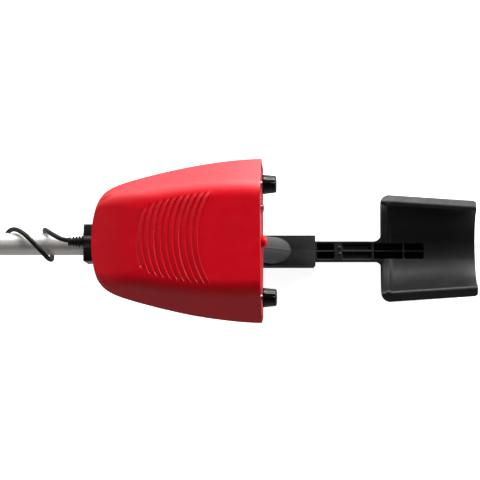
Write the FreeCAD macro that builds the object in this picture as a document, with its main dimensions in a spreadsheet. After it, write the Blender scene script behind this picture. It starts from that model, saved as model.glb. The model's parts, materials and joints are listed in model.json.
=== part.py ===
"""Hobby metal detector: control box on an S-shaped handle frame, sliding arm cuff, telescoping
pole and search coil.

Every sub-part is modelled on the pole's own axes: X runs along the pole, towards the user, Y to the
user's right, Z upwards, and Z = 0 is the pole's centreline. The last step moves everything so that
the origin is at the centre of the footprint, on the surface that the detector lies on. All sizes are
in millimetres.
"""

import FreeCAD, Part
import math
import os
import re

import Sketcher

V = FreeCAD.Vector
AXIS_X, AXIS_Y, AXIS_Z = V(1, 0, 0), V(0, 1, 0), V(0, 0, 1)
UPRIGHT = FreeCAD.Rotation()
TO_X = FreeCAD.Rotation(AXIS_Y, 90)   # turns a cylinder's own axis from Z to X
TO_Y = FreeCAD.Rotation(AXIS_X, -90)  # and from Z to Y

doc = FreeCAD.newDocument("MetalDetector")
sheet = doc.addObject("Spreadsheet::Sheet", "Sizes")

# ---------------------------------------------------------------- driving sizes
SIZES = [
    ("floor_level", -96.0, "the surface that the detector lies on"),
    ("row_along", 155.47, "from the model's zero to the middle of the footprint"),
    ("pole_radius", 11.1, "7/8 inch aluminium tube"),
    ("pole_wall", 1.2, ""),
    ("pole_front", -375.0, "open end of the aluminium pole"),
    ("pole_back", -90.0, "end inside the handle frame"),
    ("rod_radius", 9.5, "inner telescoping rod"),
    ("rod_wall", 1.6, ""),
    ("rod_front", -440.0, ""),
    ("rod_back", -106.0, ""),
    ("pivot_along", -465.0, "coil pivot, along the pole"),
    ("pivot_level", -30.0, "coil pivot, height"),
    ("pivot_bolt_radius", 3.0, ""),
    ("pivot_hole", 3.1, "hole for the bolt in the tongue and the ears"),
    ("tongue_half", 6.0, "half thickness of the rod tip's tongue"),
    ("tongue_round", 9.0, ""),
    ("ear_inner", 8.0, "inner face of each coil ear"),
    ("ear_outer", 13.0, "outer face of each coil ear"),
    ("ear_round", 10.0, ""),
    ("coil_radius", 95.0, ""),
    ("coil_rim_top", -76.0, ""),
    ("coil_web_top", -84.0, ""),
    ("coil_base_top", -93.4, "joint between coil shell and base plate"),
    ("web_thick", 4.0, ""),
    ("groove_inner", 66.0, "channel for the winding"),
    ("groove_outer", 91.5, ""),
    ("groove_top", -79.0, ""),
    ("hub_radius", 31.0, ""),
    ("window_outer", 57.0, "openings in the coil's web"),
    ("spoke_half", 7.0, ""),
    ("winding_radius", 78.5, ""),
    ("winding_thick", 5.0, ""),
    ("lock_front", -392.0, "twist lock on the pole's end"),
    ("lock_back", -352.0, ""),
    ("lock_radius", 15.5, ""),
    ("turning_gap", 0.3, "clearance between turning or sliding plastic pieces"),
    ("fit_gap", 0.05, "gap between pieces that are fixed together"),
    ("clip_front", -410.0, "cable clip on the rod"),
    ("clip_long", 8.0, ""),
    ("clip_reach", 17.4, "the lead's distance from the rod's centreline in the clip"),
    ("lead_radius", 2.3, "coil lead"),
    ("lead_gland_along", -441.0, "where the lead enters the coil"),
    ("lead_gland_top", -62.0, ""),
    ("collar_front", -154.7, "front face of the handle frame"),
    ("collar_back", -139.7, ""),
    ("collar_half", 18.5, ""),
    ("spine_half", 15.0, ""),
    ("spine_top", 14.2, ""),
    ("spine_bottom", -15.0, ""),
    ("spine_waist", 1.0, "underside of the spine above the fingers"),
    ("grip_angle", 50.0, "slope of the hand grip"),
    ("grip_core", 11.3, ""),
    ("grip_radius", 14.1, ""),
    ("grip_foot", 35.3, "where the grip's centreline meets the top of the rear socket"),
    ("socket_top", -64.0, ""),
    ("socket_half", 16.0, ""),
    ("socket_front", 11.0, ""),
    ("socket_back", 79.4, ""),
    ("stem_half", 10.7, "the arm cuff's stem"),
    ("stem_top", -72.0, ""),
    ("stem_bottom", -88.0, ""),
    ("stem_front", 46.0, ""),
    ("stem_end", 197.0, "end of the stem's channel under the cuff"),
    ("stem_wall", 2.4, ""),
    ("stem_room", 30.0, "closed end of the socket"),
    ("cuff_front", 145.0, "at the crests"),
    ("cuff_back", 244.5, "at the crests"),
    ("cuff_lean", 0.12, "how far the cuff's ends run back for each millimetre down"),
    ("cuff_crest", -37.0, ""),
    ("cuff_skin", 3.0, ""),
    ("cuff_front_half", 55.6, "half width of the cuff's mouth"),
    ("cuff_back_half", 49.7, ""),
    ("cuff_flange", 6.0, ""),
    ("parting_level", 34.0, "where the box's cover meets its tray"),
    ("tray_level", 14.3, "underside of the box"),
    ("tray_inset", 6.0, "how far the tray draws in towards its underside"),
    ("lip_level", 38.0, "top of the cover's upright lip"),
    ("roof_level", 64.0, "the cover's top at the rear panel"),
    ("roof_front_level", 53.0, "the cover's top where the nose starts"),
    ("box_wall", 2.5, ""),
    ("panel_lean", 4.57, "lean of the rear panel, degrees"),
    ("panel_level", 34.0, "height of the knobs on the rear panel"),
    ("panel_along", 21.4, "rear face of the box at the knobs' height"),
    ("panel_recess", 1.2, ""),
    ("panel_thick", 3.0, ""),
    ("knob_side", 55.3, ""),
    ("knob_radius", 9.6, ""),
    ("knob_tip_radius", 8.5, ""),
    ("knob_long", 13.6, ""),
    ("knob_gap", 0.8, "gap between knob and rear panel"),
    ("shaft_radius", 3.0, ""),
    ("bushing_radius", 3.6, ""),
    ("button_rise", -9.0, "push button, from the knobs' height along the panel"),
    ("button_radius", 5.5, ""),
    ("button_out", 4.6, "how far the push button stands out of the panel"),
    ("button_travel", 1.5, ""),
    ("jack_side", 32.5, ""),
    ("jack_rise", -4.0, ""),
    ("jack_bore", 1.8, "3.5 mm headphone socket"),
    ("jack_depth", 14.0, ""),
    ("speaker_along", -46.0, ""),
    ("speaker_side", 38.0, ""),
    ("speaker_radius", 20.0, ""),
    ("door_front", -62.0, "battery door"),
    ("door_back", -4.0, ""),
    ("door_outer", -58.5, ""),
    ("door_inner", -20.5, ""),
    ("door_thick", 2.0, ""),
    ("door_hinge_gap", 0.8, "door's rounding room beside its hinge pins"),
    ("door_pin", 0.9, "hinge pin radius"),
    ("lead_level", 27.0, "height at which the lead leaves the box"),
]
for row, (alias, value, note) in enumerate(SIZES, start=1):
    sheet.set(f"A{row}", note or alias)
    sheet.set(f"B{row}", str(value))
    sheet.setAlias(f"B{row}", alias)
doc.recompute()
size = {alias: value for alias, value, _ in SIZES}
NAMES = re.compile(r"\b(" + "|".join(sorted(size, key=len, reverse=True)) + r")\b")


def formula(text):
    """An expression with each size's name pointed at the spreadsheet."""
    return NAMES.sub(r"Sizes.\1", str(text))


# ---------------------------------------------------------------- small tools
def bind(obj, **properties):
    for name, text in properties.items():
        obj.setExpression(name.replace("__", "."), formula(text))
    return obj


def place(obj, x="0", y="0", z="0", turn=None):
    if turn is not None:
        obj.Placement = FreeCAD.Placement(V(), turn)
    return bind(obj, Placement__Base__x=x, Placement__Base__y=y, Placement__Base__z=z)


def cylinder(name, radius, height, x="0", y="0", z="0", turn=TO_X):
    return place(bind(doc.addObject("Part::Cylinder", name), Radius=radius, Height=height), x, y, z, turn)


def cone(name, radius1, radius2, height, x="0", y="0", z="0", turn=TO_X):
    made = doc.addObject("Part::Cone", name)
    return place(bind(made, Radius1=radius1, Radius2=radius2, Height=height), x, y, z, turn)


def block(name, x, y, z, turn=None):
    """A box between two formulas on each axis."""
    made = doc.addObject("Part::Box", name)
    bind(made, Length=f"({x[1]}) - ({x[0]})", Width=f"({y[1]}) - ({y[0]})", Height=f"({z[1]}) - ({z[0]})")
    return place(made, x[0], y[0], z[0], turn)


def fuse(name, *shapes):
    made = doc.addObject("Part::MultiFuse", name)
    made.Shapes = list(shapes)
    return made


def common(name, *shapes):
    made = doc.addObject("Part::MultiCommon", name)
    made.Shapes = list(shapes)
    return made


def cut(name, base, *tools):
    made = doc.addObject("Part::Cut", name)
    made.Base = base
    made.Tool = tools[0] if len(tools) == 1 else fuse(name + "_tools", *tools)
    return made


def solid(name, shape):
    made = doc.addObject("Part::Feature", name)
    made.Shape = shape
    return made


def tube(name, outer, inner, start, length, turn=TO_X, **where):
    return cut(
        name,
        cylinder(name + "_outside", outer, length, start, turn=turn, **where),
        cylinder(name + "_inside", inner, f"({length}) + 2", f"({start}) - 1", turn=turn, **where),
    )


def plane_of(body, role):
    return next(f for f in body.Origin.OriginFeatures if f.Role == role)


def number(text):
    """The value that a formula has now."""
    probe = doc.getObject("Probe") or doc.addObject("App::FeaturePython", "Probe")
    if not hasattr(probe, "Result"):
        probe.addProperty("App::PropertyFloat", "Result")
    probe.setExpression("Result", formula(text))
    probe.recompute()
    return probe.Result


def outline(body, name, role, points):
    """A closed sketch of straight lines whose corners are formulas."""
    sketch = body.newObject("Sketcher::SketchObject", name)
    sketch.AttachmentSupport = [(plane_of(body, role), "")]
    sketch.MapMode = "FlatFace"
    corners = [(number(a), number(b)) for a, b in points]
    for (a, b), (c, d) in zip(corners, corners[1:] + corners[:1]):
        sketch.addGeometry(Part.LineSegment(V(a, b, 0), V(c, d, 0)), False)
    count = len(corners)
    for i in range(count):
        sketch.addConstraint(Sketcher.Constraint("Coincident", i, 2, (i + 1) % count, 1))
    for i, (a, b) in enumerate(corners):
        for kind, value, text in (("DistanceX", a, points[i][0]), ("DistanceY", b, points[i][1])):
            at = sketch.addConstraint(Sketcher.Constraint(kind, -1, 1, i, 1, value))
            sketch.setExpression(f"Constraints[{at}]", formula(text))
    return sketch


def turned(name, points, role="XZ_Plane", axis="H_Axis"):
    """A body made by turning an outline about the sketch's own axis."""
    body = doc.addObject("PartDesign::Body", name)
    sketch = outline(body, name + "_profile", role, points)
    turn = body.newObject("PartDesign::Revolution", name + "_turn")
    turn.Profile = sketch
    turn.ReferenceAxis = (sketch, [axis])
    turn.Angle = 360
    doc.recompute()
    return body


def padded_body(name, points, length, role="XY_Plane", midplane=False):
    body = doc.addObject("PartDesign::Body", name)
    sketch = outline(body, name + "_profile", role, points)
    pad = body.newObject("PartDesign::Pad", name + "_pad")
    pad.Profile = sketch
    pad.Midplane = midplane
    bind(pad, Length=length)
    doc.recompute()
    return body


sub_parts = []
LEAN = FreeCAD.Rotation(AXIS_Y, -size["panel_lean"])  # the rear panel's own X axis points out of it


def keep(obj, label, origin=None, turn=None):
    """Names a finished sub-part and moves it from the model's zero to the middle of the footprint."""
    obj.Label = label
    x, y, z = origin or ("0", "0", "0")
    if turn is not None:
        obj.Placement = FreeCAD.Placement(V(), turn)
    bind(
        obj,
        Placement__Base__x=f"({x}) + row_along",
        Placement__Base__y=y,
        Placement__Base__z=f"({z}) - floor_level",
    )
    sub_parts.append(obj)
    return obj


def on_panel(obj, label, side="0", rise="0"):
    """A finished sub-part that was modelled about the rear panel's own axes."""
    along = f"panel_along - ({rise}) * sin(panel_lean * 1 deg)"
    level = f"panel_level + ({rise}) * cos(panel_lean * 1 deg)"
    return keep(obj, label, (along, side, level), LEAN)


# ---------------------------------------------------------------- pole and handle frame
screw_radius = 1.5
screw_head = 3.0
handle_screws = [(-97, 0), (-75, 0), (-46, 7.5), (22, -80), (70, -68)]  # along, level

pole = tube("Pole", "pole_radius", "pole_radius - pole_wall", "pole_front", "pole_back - pole_front")
pole_pin = cylinder("Pole_pin_hole", screw_radius + 0.05, 40, -97, -20, 0, TO_Y)
keep(cut("Pole_drilled", pole, pole_pin), "pole")

spine = padded_body(
    "Spine",
    [
        ("collar_front + 2", "spine_bottom"),
        ("collar_front + 2", "spine_top"),
        ("6", "spine_top"),
        ("6", "spine_top - 6"),
        ("-24", "spine_waist"),
        ("-66", "spine_waist"),
        ("-84", "spine_bottom"),
    ],
    "2 * spine_half",
    role="XZ_Plane",
    midplane=True,
)
collar = doc.addObject("Part::Chamfer", "Collar")
collar_block = block(
    "Collar_block",
    ("collar_front", "collar_back"),
    ("-collar_half", "collar_half"),
    ("-collar_half + 1", "spine_top + 2"),
)
doc.recompute()
collar.Base = collar_block
collar.Edges = [(i, 1.0, 1.0) for i in range(1, 13)]


def along_grip(name, radius, start, length):
    """A cylinder on the grip's sloping centreline, measured upwards from the top of the rear socket."""
    made = cylinder(name, radius, length, turn=FreeCAD.Rotation(AXIS_Y, size["grip_angle"] - 90))
    return place_on_grip(made, start)


def place_on_grip(made, start):
    return bind(
        made,
        Placement__Rotation__Angle="(grip_angle - 90) * 1 deg",
        Placement__Base__x=f"grip_foot - ({start}) * cos(grip_angle * 1 deg)",
        Placement__Base__z=f"socket_top + ({start}) * sin(grip_angle * 1 deg)",
    )


below_tray = block("Below_tray", (-300, 300), (-60, 60), (-200, "spine_top"))
core = common("Grip_core", along_grip("Grip_core_rod", "grip_core", -9, 130), below_tray)
socket_block = block(
    "Socket_block",
    ("socket_front", "socket_back"),
    ("-socket_half", "socket_half"),
    ("floor_level", "socket_top"),
)
frame_body = fuse("Frame_body", spine, collar, core, socket_block)
frame_tools = [
    cylinder("Pole_bore", "pole_radius + fit_gap", "pole_back - collar_front + 2", "collar_front - 1"),
    block(
        "Stem_slot",
        ("stem_room", "socket_back + 1"),
        ("-stem_half - turning_gap", "stem_half + turning_gap"),
        ("stem_bottom - turning_gap", "stem_top + turning_gap"),
    ),
    common(
        "Grip_hollow",
        along_grip("Grip_hollow_rod", "grip_core - 3", 6, 130),
        block("Below_spine", (-300, 300), (-60, 60), (-200, "spine_waist - 3")),
    ),
]
screws = []
for i, (along, level) in enumerate(handle_screws, start=1):
    frame_tools.append(cylinder(f"Screw_hole_{i}", screw_radius + 0.05, 22, along, -9.05, level, TO_Y))
    frame_tools.append(
        cylinder(f"Screw_seat_{i}", screw_head + 0.2, 20, along, "spine_half - 3", level, TO_Y)
    )
    shank = cylinder(f"Screw_shank_{i}", screw_radius, "spine_half - 2.5 + 8", along, -8, level, TO_Y)
    head = cylinder(f"Screw_head_{i}", screw_head, 2, along, "spine_half - 2.95", level, TO_Y)
    socket = cylinder(f"Screw_socket_{i}", 1.2, 3, along, "spine_half - 2.2", level, TO_Y)
    screws.append(cut(f"Handle_screw_{i}", fuse(f"Screw_body_{i}", shank, head), socket))
mount_screws = [(-60, 9), (-60, -9)]  # along, side
for i, (along, side) in enumerate(mount_screws, start=1):
    frame_tools.append(cylinder(f"Mount_hole_{i}", screw_radius + 0.05, 11, along, side, 4, UPRIGHT))
frame_cut = cut("Frame_cut", frame_body, *frame_tools)
left_space = block("Left_space", (-300, 300), (-60, "-fit_gap / 2"), (-200, 100))
right_space = block("Right_space", (-300, 300), ("fit_gap / 2", 60), (-200, 100))
keep(common("Handle_left", frame_cut, left_space), "handle_left")
keep(common("Handle_right", frame_cut, right_space), "handle_right")
for i, screw in enumerate(screws, start=1):
    keep(screw, f"handle_screw_{i}")

sleeve = cut(
    "Sleeve",
    common(
        "Sleeve_slab",
        along_grip("Sleeve_outside", "grip_radius", -20, 140),
        block("Sleeve_room", (-300, 300), (-60, 60), ("socket_top", "spine_top")),
    ),
    along_grip("Sleeve_inside", "grip_core + fit_gap", -30, 160),
    spine,
)
keep(sleeve, "grip_sleeve")

# ---------------------------------------------------------------- control box
OUTLINE = [(35, 80.5), (20, 79.8), (-25, 76), (-77, 65.8), (-116.4, 53.7), (-129.4, 47.2), (-137, 40),
           (-141, 30), (-143.4, 15), (-144.2, 0)]
ROOF = [(35, 48.6), (20, 48), (-30, 45.6), (-63, 42.8), (-96, 37.8), (-103, 35), (-107, 30),
        (-109.5, 20), (-110.6, 9), (-111, 0)]
roof_slope = (size["roof_level"] - size["roof_front_level"]) / (20 - ROOF[-1][0])


def ring(points, inset, level):
    """The box's outline, drawn in by an inset, at a level or on a slope: a curve a side, a line behind."""
    height = level if callable(level) else lambda x: level
    last = len(points) - 1
    half = []
    for i, (x, y) in enumerate(points[:-1]):
        (x0, y0), (x1, y1) = points[max(i - 1, 0)], points[min(i + 1, last)]
        along, across = x1 - x0, y1 - y0
        far = math.hypot(along, across)
        half.append((x - inset * across / far, y + inset * along / far))
    half.append((points[-1][0] + inset, 0))
    sides = []
    for sign in (1, -1):
        curve = Part.BSplineCurve()
        curve.interpolate([V(x, sign * y, height(x)) for x, y in half])
        sides.append(curve.toShape())
    (x, y) = half[0]
    back = Part.makeLine(V(x, -y, height(x)), V(x, y, height(x)))
    return Part.Wire(Part.__sortEdges__([sides[0], sides[1], back]))


def slope(drop=0.0):
    return lambda x: size["roof_level"] + roof_slope * (x - 20) - drop


def loft(*rings):
    return Part.makeLoft(list(rings), True, True)


wall = size["box_wall"]
parting, lip, tray_floor = size["parting_level"], size["lip_level"], size["tray_level"]
inset = size["tray_inset"]
cover_outer = loft(ring(OUTLINE, 0, parting), ring(OUTLINE, 0, lip)).fuse(
    loft(ring(OUTLINE, 0, lip), ring(ROOF, 0, slope()))
)
cover_inner = loft(ring(OUTLINE, wall, parting - 1), ring(OUTLINE, wall, lip)).fuse(
    loft(ring(OUTLINE, wall, lip), ring(ROOF, wall, slope(wall)))
)
tray_outer = loft(ring(OUTLINE, inset, tray_floor), ring(OUTLINE, 0, parting))
tray_inner = loft(ring(OUTLINE, inset + wall, tray_floor + wall), ring(OUTLINE, wall, parting + 1))

panel_origin = V(size["panel_along"], 0, size["panel_level"])
panel_place = FreeCAD.Placement(panel_origin, LEAN)


def panel_slab(near, far):
    """The space between two distances along the rear panel's outward axis."""
    slab = Part.makeBox(far - near, 240, 160, V(near, -120, -80))
    slab.Placement = panel_place
    return slab


behind = panel_slab(0, 60)
box_screws = [(-4, 66), (-4, -66), (-110, 40), (-110, -40)]  # along, side
board_posts = [(-90, -29), (-90, 29), (-66, -29)]


def pillar(x, y, radius, low, high):
    return Part.makeCylinder(radius, high - low, V(x, y, low))


boss_top, boss_foot = 60, 22
cover_shell = cover_outer.cut(cover_inner)
for x, y in box_screws:
    cover_shell = cover_shell.fuse(pillar(x, y, 3.8, lip - 2, boss_top).common(cover_outer))
    cover_shell = cover_shell.fuse(pillar(x, y, 3.8, boss_foot, lip))
for x, y in box_screws:
    cover_shell = cover_shell.cut(pillar(x, y, screw_radius + 0.05, boss_foot - 1, lip + 3))
cover_shell = cover_shell.cut(behind).removeSplitter()
keep(solid("Cover", cover_shell), "box_cover")

tray_shell = tray_outer.cut(tray_inner)
for x, y in box_screws:
    tray_shell = tray_shell.fuse(pillar(x, y, 4.6, tray_floor, boss_foot).common(tray_outer))
for x, y in board_posts:
    tray_shell = tray_shell.fuse(pillar(x, y, 2.5, tray_floor + 1, 42))
for x, y in box_screws:
    tray_shell = tray_shell.cut(pillar(x, y, screw_radius + 0.1, tray_floor - 1, boss_foot + 1))
    tray_shell = tray_shell.cut(pillar(x, y, screw_head + 0.2, tray_floor - 1, tray_floor + 2.6))
for x, y in mount_screws:
    tray_shell = tray_shell.cut(pillar(x, y, screw_radius + 0.1, tray_floor - 1, tray_floor + 4))
door_gap = size["turning_gap"]
door_pivot = (size["door_outer"] + size["door_hinge_gap"] + 1.2, tray_floor + 1.1)  # side, level
tray_shell = tray_shell.cut(
    Part.makeCylinder(
        size["door_pin"] + 0.05,
        size["door_back"] - size["door_front"] + 7,
        V(size["door_front"] - 3.5, *door_pivot),
        AXIS_X,
    )
)
door_hole = Part.makeBox(
    size["door_back"] - size["door_front"],
    size["door_inner"] - size["door_outer"],
    8,
    V(size["door_front"], size["door_outer"], tray_floor - 2),
)
tray_shell = tray_shell.cut(door_hole)
plug_radius, flange_radius, flange_front = 5.6, 7.0, -140.0
for radius, front in ((plug_radius, -156), (flange_radius, flange_front)):
    room_start = V(front - size["fit_gap"], 0, size["lead_level"])
    tray_shell = tray_shell.cut(Part.makeCylinder(radius + size["fit_gap"], 20, room_start, AXIS_X))
grille_hole = 1.6
for ring_radius, count in ((0.0, 1), (6.0, 6), (12.0, 12)):
    for k in range(count):
        turn = 2 * math.pi * k / count
        x = size["speaker_along"] + ring_radius * math.cos(turn)
        y = size["speaker_side"] + ring_radius * math.sin(turn)
        tray_shell = tray_shell.cut(pillar(x, y, grille_hole, tray_floor - 1, tray_floor + 4))
tray_shell = tray_shell.cut(behind).removeSplitter()
keep(solid("Tray", tray_shell), "box_tray")

for i, (x, y) in enumerate(box_screws, start=1):
    head = cylinder(f"Box_screw_head_{i}", screw_head, 2.2, x, y, "tray_level + 0.3", UPRIGHT)
    shank = cylinder(f"Box_screw_shank_{i}", screw_radius, 24, x, y, "tray_level + 1", UPRIGHT)
    keep(fuse(f"Box_screw_{i}", head, shank), f"box_screw_{i}")
for i, (x, y) in enumerate(mount_screws, start=1):
    head_level = "tray_level + box_wall + fit_gap"
    head = cylinder(f"Mount_screw_head_{i}", screw_head, 2.2, x, y, head_level, UPRIGHT)
    shank = cylinder(f"Mount_screw_shank_{i}", screw_radius, 13, x, y, 5, UPRIGHT)
    keep(fuse(f"Mount_screw_{i}", head, shank), f"mount_screw_{i}")

recess, plate = size["panel_recess"], size["panel_thick"]
cavity = cover_inner.fuse(tray_inner)
panel = cavity.common(panel_slab(-recess - plate, -recess))
button_rise, jack_rise = size["button_rise"], size["jack_rise"]
panel_holes = [
    (size["knob_side"], 0.0, size["bushing_radius"] + 0.05),
    (-size["knob_side"], 0.0, size["bushing_radius"] + 0.05),
    (0.0, button_rise, size["button_radius"] + size["turning_gap"]),
    (size["jack_side"], jack_rise, 3.15),
]
for side, rise, radius in panel_holes:
    hole = Part.makeCylinder(radius, 30, V(-20, side, rise), AXIS_X)
    hole.Placement = panel_place
    panel = panel.cut(hole)
keep(solid("Panel", panel.cut(cover_shell).cut(tray_shell)), "rear_panel")


# ---------------------------------------------------------------- controls on the rear panel
def knob(name, label, side):
    """A tapered knob on its shaft, with a pointer groove across its face."""
    body = turned(
        name,
        [
            ("knob_gap", "shaft_radius"),
            ("knob_gap", "knob_radius"),
            ("knob_gap + 1.5", "knob_radius"),
            ("knob_gap + knob_long - 1", "knob_tip_radius"),
            ("knob_gap + knob_long", "knob_tip_radius - 1"),
            ("knob_gap + knob_long", "0"),
            ("knob_gap + 10", "0"),
            ("knob_gap + 10", "shaft_radius"),
        ],
    )
    groove_along = ("knob_gap + knob_long - 0.8", "knob_gap + knob_long + 1")
    groove = block(name + "_pointer", groove_along, (-0.6, 0.6), (1, "knob_radius"))
    on_panel(cut(name + "_marked", body, groove), label + "_knob", side)
    shaft = cylinder(name + "_shaft_rod", "shaft_radius - 0.02", "knob_gap + 9.5 + 12", -12)
    neck = cylinder(name + "_shaft_neck", "shaft_radius - 0.5", 3, -14)
    on_panel(fuse(name + "_shaft", shaft, neck), label + "_shaft", side)
    can = block(name + "_can", (-17, "-panel_recess - panel_thick - 0.1"), (-8, 8), (-8, 8))
    bushing = cylinder(name + "_bushing", "bushing_radius", 5, -5)
    bore = cylinder(name + "_bore", "shaft_radius + 0.05", 20, -14.5)
    pot = cut(name + "_pot", fuse(name + "_pot_body", can, bushing), bore)
    on_panel(pot, label + "_potentiometer", side)


knob("Left_knob", "sensitivity", "knob_side")
knob("Right_knob", "volume", "-knob_side")

button_front = "-panel_recess - panel_thick - 1"
stem = cylinder("Button_stem", "button_radius", f"button_out - 0.8 - ({button_front})", button_front)
crown = cone("Button_crown", "button_radius", "button_radius - 0.8", 0.8, "button_out - 0.8")
flange = cylinder("Button_flange", "button_radius + 1.2", 1.5, f"{button_front} - 1.5")
on_panel(fuse("Button", stem, crown, flange), "mode_button", "0", "button_rise")
switch_face = f"{button_front} - 1.5 - 2 * button_travel"
switch = block("Switch_body", (f"{switch_face} - 8", f"{switch_face}"), (-6, 6), (-6, 6))
plunger = cylinder("Switch_plunger", 1.5, "button_travel - 0.1", switch_face)
on_panel(fuse("Switch", switch, plunger), "button_switch", "0", "button_rise")

jack_body = block("Jack_body", (-17, "-panel_recess - panel_thick - 0.1"), (-5, 5), (-5, 5))
jack_neck = cylinder(
    "Jack_neck", 3.1, "panel_recess + panel_thick + 0.4 + 1.6", "-panel_recess - panel_thick - 0.4"
)
jack_hole = cylinder("Jack_hole", "jack_bore", "jack_depth + 2", "1.6 - jack_depth")
jack = cut("Jack", fuse("Jack_solid", jack_body, jack_neck), jack_hole)
on_panel(jack, "headphone_jack", "jack_side", "jack_rise")
nut_ring = tube("Jack_nut_ring", 4.6, 3.12, "-panel_recess + 0.05", "panel_recess + 1.2")
on_panel(nut_ring, "jack_nut", "jack_side", "jack_rise")

# ---------------------------------------------------------------- inside the box
board = block("Board_plate", (-96, 0), (-34, 34), (42, 43.6))
chips = [
    block(f"Chip_{i}", (x, x + long), (y, y + wide), (43.5, 43.5 + tall))
    for i, (x, y, long, wide, tall) in enumerate(
        [(-80, -10, 18, 12, 2.2), (-52, 8, 10, 8, 1.8), (-50, -22, 12, 6, 3.0),
         (-24, -8, 9, 9, 5.0), (-24, 14, 7, 7, 7.0)],
        start=1,
    )
]
keep(fuse("Board", board, *chips), "circuit_board")

speaker_seat = "tray_level + box_wall"
at_speaker = {"x": "speaker_along", "y": "speaker_side", "turn": UPRIGHT}
cone_rim = cylinder("Speaker_rim", "speaker_radius", 4, z=f"{speaker_seat} + 0.1", **at_speaker)
basket = cone("Speaker_basket", "speaker_radius - 2", 10, 7, z=f"{speaker_seat} + 4", **at_speaker)
magnet = cylinder("Speaker_magnet", 10, 6, z=f"{speaker_seat} + 11", **at_speaker)
keep(fuse("Speaker", cone_rim, basket, magnet), "speaker")

keep(fuse("Battery", block("Battery_case", (-58, -11.5), (-53.5, -27), (19, 36.5)),
          cylinder("Battery_plus", 2.9, 2, -11.6, -46.5, 27.7),
          cylinder("Battery_minus", 3.8, 2, -11.6, -34, 27.7)),
     "battery")
keep(fuse("Battery_clip", block("Clip_plate", (-9.4, -7), (-53, -27.5), (20, 35.5)),
          block("Clip_lead", (-7.2, -5), (-42, -38), (24, 31))), "battery_clip")

door_plate = block(
    "Door_plate",
    ("door_front + turning_gap", "door_back - turning_gap"),
    ("door_outer + door_hinge_gap", "door_inner - turning_gap"),
    ("tray_level", "tray_level + door_thick"),
)
door_pins = cylinder(
    "Door_pins", "door_pin", "door_back - door_front + 6", "door_front - 3", door_pivot[0], door_pivot[1]
)
door_ribs = [
    block(f"Door_rib_{i}", (f"door_front + {x}", f"door_front + {x + 1.2}"),
          ("door_outer + 6", "door_inner - 4"),
          ("tray_level + door_thick - 0.1", "tray_level + door_thick + 1.6"))
    for i, x in enumerate((14, 28, 42), start=1)
]
finger_notch = cylinder("Door_notch", 7, 40, "door_front + 29 - 20", "door_inner + 2", "tray_level - 5.6")
keep(cut("Door", fuse("Door_body", door_plate, door_pins, *door_ribs), finger_notch), "battery_door")

# ---------------------------------------------------------------- lead out of the box
plug_front, plug_back, relief_tip = -152.4, -138.0, -168.0
lead_level = "lead_level"
plug = cut(
    "Plug",
    fuse(
        "Plug_body",
        cylinder("Plug_barrel", plug_radius, plug_back - plug_front, plug_front, "0", lead_level),
        cylinder("Plug_flange", flange_radius, 2, flange_front, "0", lead_level),
    ),
    cylinder("Plug_bore", "lead_radius + fit_gap", 8, plug_front - 1, "0", lead_level),
)
keep(plug, "lead_plug")
relief_rings = [
    cylinder(f"Relief_ring_{i}", 5.4 - 0.32 * i, 1.7, plug_front - 2.2 - 2.9 * i, "0", lead_level)
    for i in range(5)
]
relief_core = cone("Relief_core", 3.0, 4.3, plug_front - relief_tip, relief_tip, "0", lead_level)
relief_bore = cylinder("Relief_bore", "lead_radius + fit_gap", 20, relief_tip - 1, "0", lead_level)
keep(cut("Relief", fuse("Relief_body", relief_core, *relief_rings), relief_bore), "strain_relief")


def lead_shape(points, radius, name):
    """A round lead along straight runs joined by tangent arcs, each as large as its two runs allow."""
    points = [V(*p) for p in points]
    corners, radii = [], []
    for before, at, after in zip(points, points[1:], points[2:]):
        a, b = (before - at), (after - at)
        shorter = 0.45 * min(a.Length, b.Length)
        a.normalize()
        b.normalize()
        half_turn = (math.pi - a.getAngle(b)) / 2
        radii.append(shorter / math.tan(half_turn))
        middle = (a + b).normalize()
        centre_far = math.hypot(shorter, radii[-1])
        corners.append((at + a * shorter, at + middle * (centre_far - radii[-1]), at + b * shorter))
    edges, start = [], points[0]
    for first, top, last in corners:
        edges.append(Part.LineSegment(start, first).toShape())
        edges.append(Part.Arc(first, top, last).toShape())
        start = last
    edges.append(Part.LineSegment(start, points[-1]).toShape())
    path = Part.Wire(edges)
    section = Part.Wire([Part.Circle(points[0], points[1] - points[0], radius).toShape()])
    made = path.makePipeShell([section], True, True)
    wanted = math.pi * radius**2 * path.Length
    print(f"{name}: length {path.Length:.1f}, volume ratio {made.Volume / wanted:.4f}, smallest radii "
          f"{', '.join(f'{r:.1f}' for r in sorted(radii)[:4])}")
    return made, path


# out of the strain relief, once round the pole in a loose loop, then a regular winding
lead_route = [
    (-149, 0, 27), (-174.5, 0, 27), (-184, 5.5, 22.8), (-191.5, 12.5, 12.5), (-195.5, 15.2, 0),
    (-196, 11.5, -11), (-192.5, 2, -15.8), (-187.5, -9, -14), (-185.5, -16.2, -5),
    (-187.5, -16.6, 6), (-193.5, -10, 14.5),
    (-202.5, -0.5, 17.2), (-212.5, 9, 14.8), (-222.5, 14.8, 6.5), (-231, 14.6, -4.5), (-237.5, 7.5, -13),
]
winding_reach = 15.2
over_advance, under_advance = 9.6, 5.2  # along the pole in each eighth of a turn, above and below it
along, turn = lead_route[-1][0], -60
for step in range(8):
    turn -= 45
    over = turn % 360 < 180
    along -= over_advance if over else under_advance
    angle = math.radians(turn)
    lead_route.append((along, winding_reach * math.cos(angle), winding_reach * math.sin(angle)))
in_clip = -size["clip_reach"]
clip_end = (-406, 0, in_clip)
lead_route += [(along - 10, 0.5, -15.8), (along - 26, -1.2, -17.6), (-352, -0.4, -18.9), (-376, 0.5, -18.9),
               (-396, 0, in_clip), clip_end]
lower_route = [
    clip_end, (-419, 0, in_clip), (-428.5, 0, -20.1), (-436, 0, -27.3), (-440.2, 0, -38), (-441, 0, -50),
    (-441, 0, -70),
]
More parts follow.
